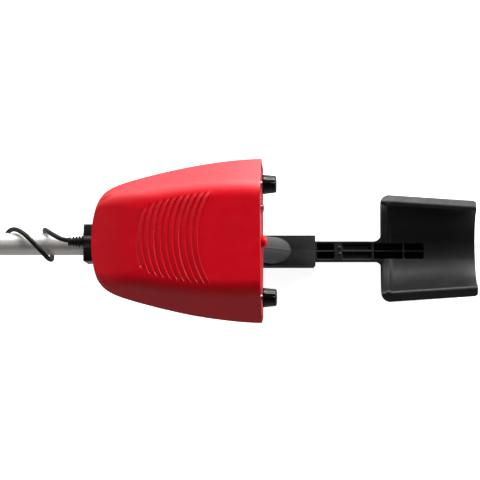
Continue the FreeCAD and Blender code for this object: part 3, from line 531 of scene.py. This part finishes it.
def softMin(a, b, k):
    # min(a, b) - k / 4 max(1 - |a - b| / k, 0)^2
    h = np.maximum(k - np.abs(a - b), 0.0) / np.maximum(k, 1e-6)
    return np.minimum(a, b) - h * h * k * 0.25


def smooth(value, low, high):
    # 0 under low, 1 over high, 3 t^2 - 2 t^3 between them
    t = np.clip((value - low) / (high - low), 0, 1)
    return t * t * (3 - 2 * t)


def coverHalfWidth(x):
    # halfWidth (1 - narrowing u^power) sqrt(1 - exp(-(1 - u) / noseRound)), u from 0 at the rear to 1
    # at the nose
    u = np.clip((coverSizes["rear"] - x) / (coverSizes["rear"] - coverSizes["nose"]), 0, 1)
    taper = 1 - coverSizes["narrowing"] * u ** coverSizes["power"]
    return coverSizes["halfWidth"] * taper * np.sqrt(1 - np.exp(-(1 - u) / coverSizes["noseRound"]))


def coverArc(y):
    # how far the ridges run back at a distance from the middle: R - sqrt(R^2 - y^2)
    far = np.minimum(np.abs(y), ridgeSizes["arcLimit"])
    return ridgeSizes["arcRadius"] - np.sqrt(ridgeSizes["arcRadius"] ** 2 - far ** 2)


def makeCover():
    # rows follow the ridges' arcs: x = start + follow arc(y), y = t halfWidth(x), |t| <= 1, found by
    # repetition because each depends on the other
    # z = soft minimum of three slopes, side, roof and nose, plus a sawtooth of the start
    sizes = coverSizes
    s = np.linspace(0, 1, sizes["rows"])
    start = sizes["nose"] + (sizes["rearRow"] - sizes["nose"]) * s ** sizes["rowPower"]
    even = np.linspace(-1, 1, sizes["columns"])
    t = sizes["crowding"] * np.sin(even * np.pi / 2) + (1 - sizes["crowding"]) * even
    start, t = np.meshgrid(start, t, indexing="ij")
    follow = smooth(start, *sizes["bendIn"]) * (1 - smooth(start, *sizes["bendOut"]))
    x, y = start.copy(), t * coverHalfWidth(start)
    for _ in range(6):
        x = start + follow * coverArc(y)
        y = t * coverHalfWidth(x)
    width = coverHalfWidth(x)
    side = sizes["shoulder"] + sizes["sideSlope"] * (width - np.abs(y))
    roof = sizes["roof"] + sizes["roofSlope"] * (x - sizes["rear"])
    nose = sizes["shoulder"] + sizes["noseSlope"] * (x - sizes["nose"])
    low = np.minimum(side, nose)
    k = sizes["softness"] * np.clip((low - sizes["shoulder"]) / 6, 0, 1)
    z = softMin(softMin(side, nose, k), roof, k)
    step = (start - ridgeSizes["first"]) / ridgeSizes["pitch"]
    saw = np.mod(step, 1.0)
    drop = ridgeSizes["drop"]
    rise = np.where(saw < 1 - drop, saw / (1 - drop), (1 - saw) / drop)
    number = np.floor(step)
    inside = (number >= 0) & (number < ridgeSizes["count"])
    reach = ridgeSizes["narrow"] + (ridgeSizes["wide"] - ridgeSizes["narrow"]) * np.sqrt(
        np.clip(number / (ridgeSizes["count"] - 1), 0, 1))
    ends = smooth(reach - np.abs(y), 0, ridgeSizes["fade"])
    z = z + np.where(inside, (rise - 0.5) * ridgeSizes["height"] * ends, 0.0)
    lean = math.tan(math.radians(sizes["lean"]))
    leanBack = (z - sizes["lip"]) * lean * smooth(start, sizes["leanStart"], sizes["rearRow"])
    top = np.stack([x - leanBack, y, z], axis=-1)
    lip = np.stack([x, y, np.full_like(z, sizes["lip"])], axis=-1)
    grid = np.concatenate([lip[:, :1], top, lip[:, -1:]], axis=1)
    cover = gridPiece("cover", grid, "frame", weld=1e-5)
    finish(cover, bevel=sizes["edge"], thickness=sizes["wall"])
    takeOver(cover, "box_cover")


makeCover()
print("cover made")


cuffSizes = {
    "front": 152.8, "back": 244.5,           # along the pole, at the crests
    "lean": 0.12,                            # how far the ends run back for each millimetre down
    "crestFront": 47.6, "crestBack": 41.7,   # half the distance between the two crests
    "crest": -37.0, "floor": -72.0,
    "roll": 3.5, "rollTurn": 35.0,           # the flange's rounding and its fall, degrees
    "flange": 8.0, "flangeEase": 0.8,        # how much of the roll's last slope the flange keeps
    "lipLong": 7.8, "lipFall": 6.5,          # the front lip, forwards of its crest and down its outer face
    "lipRise": 1.3, "lipRound": 2.4,
    "fallFade": (-8.0, 0.0), "riseFade": (-4.0, 1.0),   # where both fade, outwards from the crest
    "corner": 9.0, "backCorner": 3.0, "wall": 2.2, "edge": 0.5,
    "holeHalf": 8.4, "holeEnd": 194.8,
    "rows": 96, "columns": 41, "lipRows": 12, "rollColumns": 9, "flangeColumns": 5,
}


def makeCuff():
    # half section: an arc of radius R from the floor to the roll, where its slope is steep; the roll, whose
    # slope goes from steep to -rollTurn; a straight flange. R = (inner^2 + height^2) / (2 height) and
    # steep = asin(inner / R), found by repetition because inner depends on steep.
    # front lip, f from 0 at its crest to 1 at its edge: pushed outwards by
    # fall (1 - sqrt(1 - f^2)) - rise exp(-(x / round)^2)
    sizes = cuffSizes
    lip = np.linspace(0, 1, sizes["lipRows"], endpoint=False)      # 0 at the outer edge, 1 at the crest
    share = np.concatenate([lip * 0, np.linspace(0, 1, sizes["rows"])])
    crest = sizes["crestFront"] + (sizes["crestBack"] - sizes["crestFront"]) * share
    roll, down = sizes["roll"], math.radians(sizes["rollTurn"])
    steep = np.full_like(crest, 1.26)      # a first guess, in radians
    for _ in range(8):
        inner = crest - roll * np.sin(steep)
        height = sizes["crest"] - roll * (1 - np.cos(steep)) - sizes["floor"]
        radius = (inner ** 2 + height ** 2) / (2 * height)
        steep = np.arcsin(inner / radius)
    radius, steep, inner, crest = radius[:, None], steep[:, None], inner[:, None], crest[:, None]
    hole = np.arcsin(sizes["holeHalf"] / radius)
    a = hole + (steep - hole) * np.linspace(0, 1, sizes["columns"])
    b = steep + (-down - steep) * np.linspace(0, 1, sizes["rollColumns"] + 1)[1:]
    far = np.linspace(0, 1, sizes["flangeColumns"] + 1)[1:] * (sizes["flange"] - roll * math.sin(down))
    trough = sizes["floor"] + radius * (1 - np.cos(a))
    y = [radius * 0, radius * np.sin(a), inner + roll * (np.sin(steep) - np.sin(b))]
    z = [radius * 0 + sizes["floor"], trough, trough[:, -1:] + roll * (np.cos(b) - np.cos(steep))]
    y.append(y[-1][:, -1:] + far)
    z.append(z[-1][:, -1:] - far * math.tan(down) * sizes["flangeEase"])
    tilt = [radius * 0, a, b, np.broadcast_to(-down, (len(share), len(far)))]
    y, z, tilt = (np.concatenate(parts, axis=1) for parts in (y, z, tilt))
    half = y[:, -1:]
    f = np.concatenate([1 - lip, np.zeros(sizes["rows"])])[:, None]          # 1 at the lip's outer edge
    over = np.clip(y - (half - sizes["corner"]), 0, sizes["corner"])
    cornerRound = sizes["corner"] - np.sqrt(sizes["corner"] ** 2 - over ** 2)
    backOver = np.clip(y - (half - sizes["backCorner"]), 0, sizes["backCorner"])
    backRound = sizes["backCorner"] - np.sqrt(sizes["backCorner"] ** 2 - backOver ** 2)
    leanBack = sizes["lean"] * (sizes["crest"] - z)
    frontEdge = sizes["front"] + leanBack
    backEdge = sizes["back"] + leanBack - backRound
    outer = np.minimum(sizes["front"] - sizes["lipLong"] + cornerRound, sizes["front"] - 0.3) + leanBack
    x = frontEdge + (backEdge - frontEdge) * share[:, None] + (outer - frontEdge) * f
    fall = sizes["lipFall"] * (1 - np.sqrt(1 - (0.985 * f) ** 2))
    fall = fall * (1 - 0.95 * smooth(y - crest, *sizes["fallFade"]))
    rise = sizes["lipRise"] * np.exp(-((x - frontEdge) / sizes["lipRound"]) ** 2)
    push = fall - rise * (1 - smooth(y - crest, *sizes["riseFade"]))
    y, z = y + np.sin(tilt) * push, z - np.cos(tilt) * push
    right = np.stack([x, y, z], axis=-1)
    grid = np.concatenate([right[:, :0:-1] * (1, -1, 1), right], axis=1)
    faces = gridFaces(*grid.shape[:2])
    centre = grid.reshape(-1, 3)[faces].mean(axis=1)
    faces = faces[~((np.abs(centre[:, 1]) < sizes["holeHalf"] * 0.99) & (centre[:, 0] < sizes["holeEnd"]))]
    cuff = meshPiece("cuff_trough", grid.reshape(-1, 3), faces, "cuff", weld=1e-6)
    turnUp(cuff)
    finish(cuff, bevel=sizes["edge"], thickness=sizes["wall"], even=False)
    return cuff


def turnUp(piece):
    # an open sheet whose faces look up
    mesh = piece.data
    normals = np.empty(len(mesh.polygons) * 3)
    mesh.polygons.foreach_get("normal", normals)
    if normals.reshape(-1, 3)[:, 2].sum() < 0:
        mesh.flip_normals()


stemSizes = {
    "front": 46.0, "back": 196.5, "half": 10.6, "flatHalf": 10.0, "top": -72.0, "bottom": -88.0,
    # each hollow's start, end, depth and corner radius
    "cells": ((81.5, 100.0, 13.5, 1.3), (108.0, 139.6, 4.0, 1.3), (141.6, 172.5, 13.5, 1.3),
              (173.6, 194.6, 13.5, 2.9)),
    "cellHalf": 8.3, "rib": 0.55,
    "fillet": 8.5, "filletEnd": 149.6,
    "bosses": ((105.2, 3.7), (106.2, -3.1)), "bossRadius": 1.7, "bossRise": 0.9,
    "step": 0.5,
}


def makeStem():
    # a closed bar: its top z(x, y) = top - depth inside rounded cells + bosses
    # its half width grows by half + fillet - sqrt(fillet^2 - grow^2) towards the trough
    sizes = stemSizes
    x = np.arange(sizes["front"], sizes["back"] + 0.01, sizes["step"])
    inner = np.arange(-sizes["flatHalf"], sizes["flatHalf"] + 0.01, sizes["step"])
    grow = np.clip(x - (sizes["filletEnd"] - sizes["fillet"]), 0, sizes["fillet"] * 0.994)
    half = sizes["half"] + (sizes["fillet"] - np.sqrt(sizes["fillet"] ** 2 - grow ** 2)) * (
        1 - smooth(x, sizes["filletEnd"] + 1, sizes["filletEnd"] + 6))
    xx, yy = np.meshgrid(x, inner, indexing="ij")
    z = np.full_like(xx, sizes["top"])
    for low, high, depth, cornerSize in sizes["cells"]:
        for side in (1, -1):
            middle, reach = (low + high) / 2, (high - low) / 2
            cy, hy = side * (sizes["cellHalf"] + sizes["rib"]) / 2, (sizes["cellHalf"] - sizes["rib"]) / 2
            corner = min(cornerSize, hy)
            dx = np.maximum(np.abs(xx - middle) - (reach - corner), 0)
            dy = np.maximum(np.abs(yy - cy) - (hy - corner), 0)
            edge = corner - np.hypot(dx, dy)
            z -= depth * smooth(edge, 0.0, 0.6)
    for bx, by in sizes["bosses"]:
        z += sizes["bossRise"] * smooth(sizes["bossRadius"] - np.hypot(xx - bx, yy - by), -0.2, 0.5)

    def column(y, level):
        return np.stack([x, np.broadcast_to(y, x.shape), np.broadcast_to(level, x.shape)], axis=-1)[:, None]

    top, bottom, foot = sizes["top"], sizes["bottom"], sizes["half"]
    corner = [(foot - 0.5, bottom), (foot, bottom + 0.5), (half, top - 0.6), (half - 0.3, top - 0.1),
              (half - 0.6, top)]
    left = [column(-y, level) for y, level in corner]
    right = [column(y, level) for y, level in reversed(corner)]
    grid = np.concatenate([column(0.0, bottom), *left, np.stack([xx, yy, z], axis=-1), *right], axis=1)
    middles = [(end, 0.0, (top + bottom) / 2) for end in (x[0], x[-1])]
    return gridPiece("cuff_stem", capped(grid, middles), "cuff", closed=True)


takeOver(makeCuff(), "arm_cuff")
makeStem()
print("arm cuff made")


def leanAxis():
    lean = math.radians(coverSizes["lean"])
    return np.array([math.cos(lean), 0.0, math.sin(lean)])


def nodeCentre(node):
    low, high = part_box(node)
    return (np.array(low) + np.array(high)) * 500.0 - rowShift


knobSizes = {
    "long": 13.4, "root": 9.55, "tip": 8.55,     # radius at the panel and in front
    "flutes": 18, "fluteDepth": 0.022,
    "crown": 0.7,                                # how deep the front face is dished
}


def makeKnob(name, node, body):
    # radius(s, a) = taper from root to tip, less shallow flutes that fade at both ends
    sizes = knobSizes
    axis = leanAxis()
    long, root, tip, crown = (sizes[key] for key in ("long", "root", "tip", "crown"))
    profile = [(0, 0), (0, root - 0.5), (0.15, root - 0.15), (0.5, root), (2.2, root - 0.1),
               (2.5, root - 0.2)]
    profile += [(2.5 + (long - 4.0) * f, root - 0.2 + (tip - root) * f) for f in np.linspace(0.1, 1, 9)]
    profile += [(long - 0.9, tip - 0.35), (long - 0.4, tip - 0.8), (long - 0.1, tip - 1.5),
                (long, tip - 2.2), (long - 0.1, tip - 3.2), (long - crown, tip - 4.4), (long - crown, 0)]

    def flutes(along, turn):
        inside = smooth(along, 2.4, 3.4) * (1 - smooth(along, long - 2.6, long - 1.2))
        return 1 - sizes["fluteDepth"] * inside * (0.5 + 0.5 * np.cos(turn * sizes["flutes"])) ** 3

    knob = lathe(name, profile, nodeCentre(node) - axis * long / 2, axis, body, sides=144, wave=flutes)
    takeOver(knob, node)


def makePointer(name, node, body):
    # a slim bar: end points swept along the knob's face and over its edge
    axis = leanAxis()
    up = np.array([-axis[2], 0.0, axis[0]])
    side = np.array([0.0, 1.0, 0.0])
    base = nodeCentre(node) + axis * (knobSizes["long"] / 2)
    tip = knobSizes["tip"]
    path = np.array([(-0.75, 1.2), (-0.62, 3.9), (0.02, tip - 3.1), (0.12, tip - 2.0), (-0.25, tip - 1.0),
                     (-1.0, tip - 0.22), (-2.0, tip - 0.05), (-6.5, tip + 0.42), (-6.6, tip - 0.6)])
    width = np.array([0.25, 0.5, 0.55, 0.6, 0.6, 0.6, 0.6, 0.5, 0.3])
    centre = base + path[:, :1] * axis + path[:, 1:] * up
    lift = np.array([0.35, 0.35, 0.3, 0.3, 0.3, 0.3, 0.3, 0.25, 0.0])[:, None]
    out = np.gradient(path, axis=0)
    out = np.stack([-out[:, 1], out[:, 0]], axis=-1) / np.linalg.norm(out, axis=1)[:, None]
    normal = -(out[:, :1] * axis + out[:, 1:] * up)
    reach = side * width[:, None]
    grid = np.stack([centre - reach - normal * 0.3, centre - reach * 0.8 + normal * lift,
                     centre + reach * 0.8 + normal * lift, centre + reach - normal * 0.3], axis=1)
    pointer = gridPiece(name, capped(grid), body, closed=True)


for make, part in ((makeKnob, "_grip"), (makePointer, "_pointer")):
    for control in ("sensitivity", "volume"):
        make(control + part, control + "_knob", control + "_control")


def makeButton():
    # a domed cap on a short barrel that goes back through the panel
    axis = leanAxis()
    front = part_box("mode_button")[1][0] * 1000 - rowShift[0]
    tip = np.array([front, 0.0, nodeCentre("mode_button")[2]])
    profile = [(-9.9, 0), (-9.9, 3.0), (-7.2, 3.0), (-7.2, 5.1), (-7.0, 5.4), (-1.9, 5.4), (-1.3, 5.2),
               (-0.8, 4.7), (-0.4, 3.9), (-0.15, 2.7), (-0.02, 1.3), (0, 0)]
    button = lathe("mode_cap", profile, tip - axis * 0.4, axis, "button")
    takeOver(button, "mode_button")


makeButton()


reliefSizes = {
    "front": -168.0, "back": -152.4, "level": 27.0,
    "tip": 3.0, "taper": 1.3,        # the core's radius in front and how much it grows
    "ring": 1.1, "ringGrows": 0.5,   # the rings' height
    "pitch": 2.9, "lean": 0.35,      # of the rings
}


def makeRelief():
    # radius(x) = tapering core plus rounded rings; each ring leans, x = along + lean y
    sizes = reliefSizes
    x = np.linspace(sizes["front"], sizes["back"], 120)
    u = (x - x[0]) / (x[-1] - x[0])
    core = sizes["tip"] + sizes["taper"] * u
    wave = np.clip(np.sin((x - x[0]) / sizes["pitch"] * 2 * np.pi - 0.6) * 1.6 + 0.55, 0, 1)
    radius = core + wave * (sizes["ring"] + sizes["ringGrows"] * u)
    a = np.linspace(0, 2 * np.pi, 48, endpoint=False)
    across, up = radius[:, None] * np.sin(a), radius[:, None] * np.cos(a)
    leaning = smooth(u, 0, 0.2) * (1 - smooth(u, 0.85, 1.0))
    along = x[:, None] + sizes["lean"] * across * leaning[:, None]
    grid = np.stack([along, across, sizes["level"] + up], axis=-1)
    middles = [(end, 0.0, sizes["level"]) for end in (x[0], x[-1])]
    relief = gridPiece("ribbed_relief", capped(grid, middles), "frame", closed=True)
    takeOver(relief, "strain_relief")


makeRelief()
print("knobs, button and strain relief made")


gripSizes = {
    "foot": (35.3, 0.0, -64.0), "angle": 50.0, "radius": 14.05,
    "top": -15.1, "seam": 0.45, "seamWidth": 0.045,      # height, mm, and width in radians
    "bead": 0.7, "beadLong": 2.2, "crown": 0.5,
}


def makeGrip():
    # point(s, a) = foot + s along + r (cos a up + sin a side), cut level below and above: s runs
    # between the heights where z = foot z and z = top
    # r = radius - crown at the ends + bead at the foot + seam at a = 0
    sizes = gripSizes
    angle = math.radians(sizes["angle"])
    dirX, dirZ = -math.cos(angle), math.sin(angle)
    q = np.linspace(-1, 1, 121)[:-1]
    a = np.pi * np.sign(q) * np.abs(q) ** 1.7
    share = np.concatenate([np.linspace(0, 0.08, 14)[:-1], np.linspace(0.08, 1, 30)])[:, None]
    long = (sizes["top"] - sizes["foot"][2]) / dirZ
    seam = sizes["seam"] * np.exp(-(a / sizes["seamWidth"]) ** 2)
    r = sizes["radius"] - sizes["crown"] * (2 * share - 1) ** 2 + seam
    r = r + sizes["bead"] * np.sqrt(np.maximum(1 - (2 * share * long / sizes["beadLong"] - 1) ** 2, 0))
    low = -r * np.cos(a) * math.cos(angle) / dirZ
    s = low + share * long
    grid = np.stack([sizes["foot"][0] + s * dirX + r * np.cos(a) * math.sin(angle), r * np.sin(a),
                     sizes["foot"][2] + s * dirZ + r * np.cos(a) * math.cos(angle)], axis=-1)
    grip = gridPiece("grip_foam", capped(grid), "frame", closed=True)
    takeOver(grip, "grip_sleeve")


makeGrip()
print("grip made")


nodeSlot = {entry["node"]: entry["material_slot"] for entry in frame["record"]["subparts"]}

# moulded and machined nodes whose edges are broken: how wide, in millimetres
brokenEdges = {
    "handle_left": 1.0, "handle_right": 1.0, "box_tray": 0.5, "lock_collar": 0.5, "lead_clip": 0.5,
    "rod_tip": 0.7, "coil_bridge": 0.6, "wing_nut": 0.7, "battery_door": 0.25, "pivot_bolt": 0.35,
    "lead_plug": 0.35, "coil_base": 0.3,
}


def breakEdges(node, width):
    # a copy of the node's mesh, merged, its flats joined and its sharp edges rounded
    source = frame["nodes"][node]
    solid = bmesh.new()
    solid.from_mesh(source.data)
    bmesh.ops.remove_doubles(solid, verts=solid.verts, dist=2e-6)
    bmesh.ops.dissolve_limit(solid, angle_limit=math.radians(0.6), verts=solid.verts, edges=solid.edges)
    mesh = bpy.data.meshes.new(node + "_rounded")
    solid.to_mesh(mesh)
    solid.free()
    piece = addObject(node + "_rounded", mesh)
    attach(piece, source["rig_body"])
    finish(piece, bevel=width)
    piece.modifiers["edge"].harden_normals = True
    takeOver(piece, node)
    return piece


rounded = {node: breakEdges(node, width) for node, width in brokenEdges.items()}
print("edges broken on", len(rounded), "nodes")


coilSizes = {
    "centre": (-465.0, 0.0), "outer": 94.9, "inner": 62.3,
    "top": -76.0, "low": -93.4, "web": -84.0,
    "round": 6.5, "innerRound": 3.0, "innerSlope": 6.8,    # of the upper edges
    "groove": (65.9, 91.6), "grooveTop": -79.0, "edge": 0.3,
}


def makeCoilRing():
    # a ring section with rounded upper edges, turned round the upright axis
    # its groove for the winding is open below
    sizes = coilSizes
    outer, inner, top, low, edge = (sizes[key] for key in ("outer", "inner", "top", "low", "edge"))
    wide, small = sizes["round"], sizes["innerRound"]
    grooveIn, grooveOut = sizes["groove"]
    a = np.linspace(0, np.pi / 2, 9)
    outerArc = [(top - wide * (1 - math.sin(t)), outer - wide * (1 - math.cos(t))) for t in a]
    shoulder = inner + sizes["innerSlope"]
    innerArc = [(top - small * (1 - math.cos(t)), shoulder - small * math.sin(t)) for t in a]
    profile = [(low, grooveOut), (low, outer - 0.4), (low + 0.4, outer)] + outerArc + innerArc
    profile += [(sizes["web"] + edge, inner), (low + edge, inner), (low, inner + edge), (low, grooveIn),
                (sizes["grooveTop"], grooveIn), (sizes["grooveTop"], grooveOut), (low, grooveOut)]
    ring = lathe("coil_ring_shell", profile, (*sizes["centre"], 0.0), (0, 0, 1), "coil", sides=160)
    takeOver(ring, "coil_ring")


makeCoilRing()
print("coil ring made")


# finishes, linear colours
colours = {
    "red": (0.56, 0.0003, 0.008),
    "black": (0.0095, 0.0093, 0.0095),
    "knob": (0.0022, 0.0022, 0.0024),
    "foam": (0.018, 0.018, 0.0185),
    "tube": (0.66, 0.635, 0.61),
    "rod": (0.03, 0.03, 0.032),
    "steel": (0.56, 0.56, 0.57),
    "rubber": (0.011, 0.011, 0.012),
    "lead": (0.0045, 0.0043, 0.0045),
    "socket": (0.02, 0.02, 0.021),
    "clip": (0.45, 0.02, 0.02),
    "sleeve": (0.02, 0.02, 0.025),
    "label": (0.50, 0.42, 0.30),
    "paper": (0.03, 0.028, 0.026),
    "copper": (0.42, 0.16, 0.06),
    "mask": (0.004, 0.060, 0.020),         # of the circuit board, its second shade, its tracks and pads
    "maskPale": (0.006, 0.085, 0.028),
    "track": (0.02, 0.17, 0.055),
    "pad": (0.55, 0.55, 0.5),
}


def grooved(name, colour, rough, height, bands, axis):
    # ribbed rubber or a wound part: fine even bands along one axis over a clouded colour
    made = Finish(name)
    clouds = made.noise(60.0, 4.0)
    low, high = (tuple(c * share for c in colour) for share in (0.8, 1.25))
    made.colour(made.tint(clouds, (0.3, low), (0.7, high)))
    wave = made.nodes.new("ShaderNodeTexWave")
    wave.bands_direction = axis
    wave.inputs["Scale"].default_value = bands
    wave.inputs["Distortion"].default_value = 0.25
    wave.inputs["Detail"].default_value = 2.0
    made.links.new(made.space(), wave.inputs["Vector"])
    made.rough(clouds, *rough)
    made.bump(wave.outputs["Fac"], height, 0.6)
    made.bump(made.noise(1800.0, 2.0), 0.02)
    return made.material


def foamGrip(name, colour):
    # closed-cell foam: packed small pores with painted shade in their pits, worn patches a little paler and
    # smoother
    made = Finish(name)
    worn = made.noise(22.0, 5.0, 0.6)
    pores = made.cells(900.0)
    low, high = (tuple(c * share for c in colour) for share in (0.7, 1.7))
    body = made.tint(worn, (0.32, low), (0.68, high))
    # painted shade: the colour goes blacker towards the bottom of each pore's pit
    poreShade = made.spread(pores, 0.75, 0.0, 0.05, 0.5)
    made.colour(made.blend(poreShade, body, tuple(c * 0.45 for c in colour)))
    made.rough(worn, 0.62, 0.82)
    made.bump(pores, 0.12, 0.8)
    made.bump(made.noise(420.0, 4.0, 0.6), 0.12, 0.7)
    made.set(Sheen_Weight=0.12)
    return made.material


def circuitGreen(name):
    # solder mask over copper traces: a stepped grid of tracks with pads
    made = Finish(name)
    tracks = made.nodes.new("ShaderNodeTexBrick")
    tracks.inputs["Scale"].default_value = 120.0
    tracks.inputs["Mortar Size"].default_value = 0.04
    for socket, shade in (("Color1", "mask"), ("Color2", "maskPale"), ("Mortar", "track")):
        tracks.inputs[socket].default_value = (*colours[shade], 1)
    made.links.new(made.space(), tracks.inputs["Vector"])
    pads = made.spread(made.cells(210.0), 1.0, 0.0, 0.12, 0.16)
    made.colour(made.blend(pads, tracks.outputs["Color"], colours["pad"]))
    made.rough(made.noise(60.0), 0.25, 0.4)
    made.bump(tracks.outputs["Fac"], 0.04)
    return made.material


def wrapped(name, first, second, split):
    # a printed sleeve shrunk over a block: two bands of colour with a soft crease pattern
    made = Finish(name)
    low, high = split
    axes = made.nodes.new("ShaderNodeSeparateXYZ")
    made.links.new(made.space(), axes.inputs[0])
    band = made.spread(axes.outputs["X"], 0.0, 1.0, low, high)
    creases = made.noise(150.0, 5.0, 0.6)
    body = made.blend(band, first, second)
    made.colour(made.blend(made.spread(creases, 0.0, 0.25), body, tuple(c * 0.6 for c in second)))
    made.rough(creases, 0.3, 0.42)
    made.bump(creases, 0.10, 0.6)
    return made.material


redPlastic = mouldedPlastic("redPlastic", colours["red"], rough=(0.30, 0.40), grain=0.012, shade=0.07,
                            scratches=0.10, specular=0.32)
# the red at 0.85 and a little rougher, for the tray and the rear panel: this lower tone is painted shade
redPlasticShaded = mouldedPlastic("redShadedCopy", tuple(c * 0.85 for c in colours["red"]), rough=(0.4, 0.5))
blackPlastic = mouldedPlastic("blackPlastic", colours["black"], rough=(0.36, 0.5), shade=0.25,
                              scratches=0.15, specular=0.25)
knobGloss = mouldedPlastic("knobGloss", colours["knob"], rough=(0.17, 0.27), grain=0.004, shade=0.2,
                           coat=0.1, specular=0.2)
softBlack = mouldedPlastic("softBlack", colours["rubber"], rough=(0.5, 0.65), grain=0.03, shade=0.3)
socketPlastic = mouldedPlastic("socketPlastic", colours["socket"], rough=(0.4, 0.55), shade=0.2)
clipRed = mouldedPlastic("clipRed", colours["clip"], rough=(0.35, 0.5), shade=0.15)
leadJacket = mouldedPlastic("leadJacket", colours["lead"], rough=(0.38, 0.52), grain=0.015, shade=0.3,
                            specular=0.2)
reliefRubber = mouldedPlastic("reliefRubber", colours["lead"], rough=(0.42, 0.58), grain=0.03, shade=0.3,
                              specular=0.2)
poleMetal = drawnMetal("poleMetal", colours["tube"], rough=(0.34, 0.46), shine=0.36)
rodPlastic = mouldedPlastic("rodPlastic", colours["rod"], rough=(0.38, 0.5), grain=0.01, shade=0.2,
                            scratches=0.3)
steel = drawnMetal("steel", colours["steel"], rough=(0.2, 0.34), streak=(300.0, 300.0, 300.0))
jackMetal = drawnMetal("jackMetal", colours["steel"], rough=(0.16, 0.28), streak=(300.0, 300.0, 300.0))
gripFoam = foamGrip("gripFoam", colours["foam"])
boardGreen = circuitGreen("boardGreen")
batteryWrap = wrapped("batteryWrap", colours["sleeve"], colours["label"], (0.139, 0.1395))
speakerPaper = grooved("speakerPaper", colours["paper"], (0.7, 0.85), 0.15, 160.0, "X")
copperWinding = grooved("copperWinding", colours["copper"], (0.3, 0.42), 0.12, 900.0, "Z")

dress(redPlastic, "cover", "mode_cap")
dress(blackPlastic, "cuff_trough", "cuff_stem", "coil_ring_shell")
dress(knobGloss, "sensitivity_grip", "volume_grip", "sensitivity_pointer", "volume_pointer")
dress(reliefRubber, "ribbed_relief")
dress(leadJacket, "upper_lead", "lower_lead")
dress(gripFoam, "grip_foam")

nodeFinish = {
    "red_plastic": redPlastic, "black_plastic": blackPlastic, "aluminium": poleMetal, "steel": steel,
    "grip_foam": gripFoam, "socket_plastic": socketPlastic, "board_green": boardGreen,
    "speaker_paper": speakerPaper, "battery_wrap": batteryWrap, "clip_red": clipRed,
    "relief_rubber": reliefRubber, "lead_jacket": leadJacket, "copper_winding": copperWinding,
}
ownFinish = {"box_tray": redPlasticShaded, "rear_panel": redPlasticShaded, "lower_rod": rodPlastic,
             "jack_nut": jackMetal, "headphone_jack": softBlack, "coil_base": softBlack}


def dressNodes():
    # every node of the frame wears its slot's finish, or one of its own
    for name in frame["nodes"]:
        material = ownFinish.get(name, nodeFinish[nodeSlot[name]])
        dress(material, name)
        if name in rounded:
            dress(material, rounded[name].name)


dressNodes()
print("finishes made")
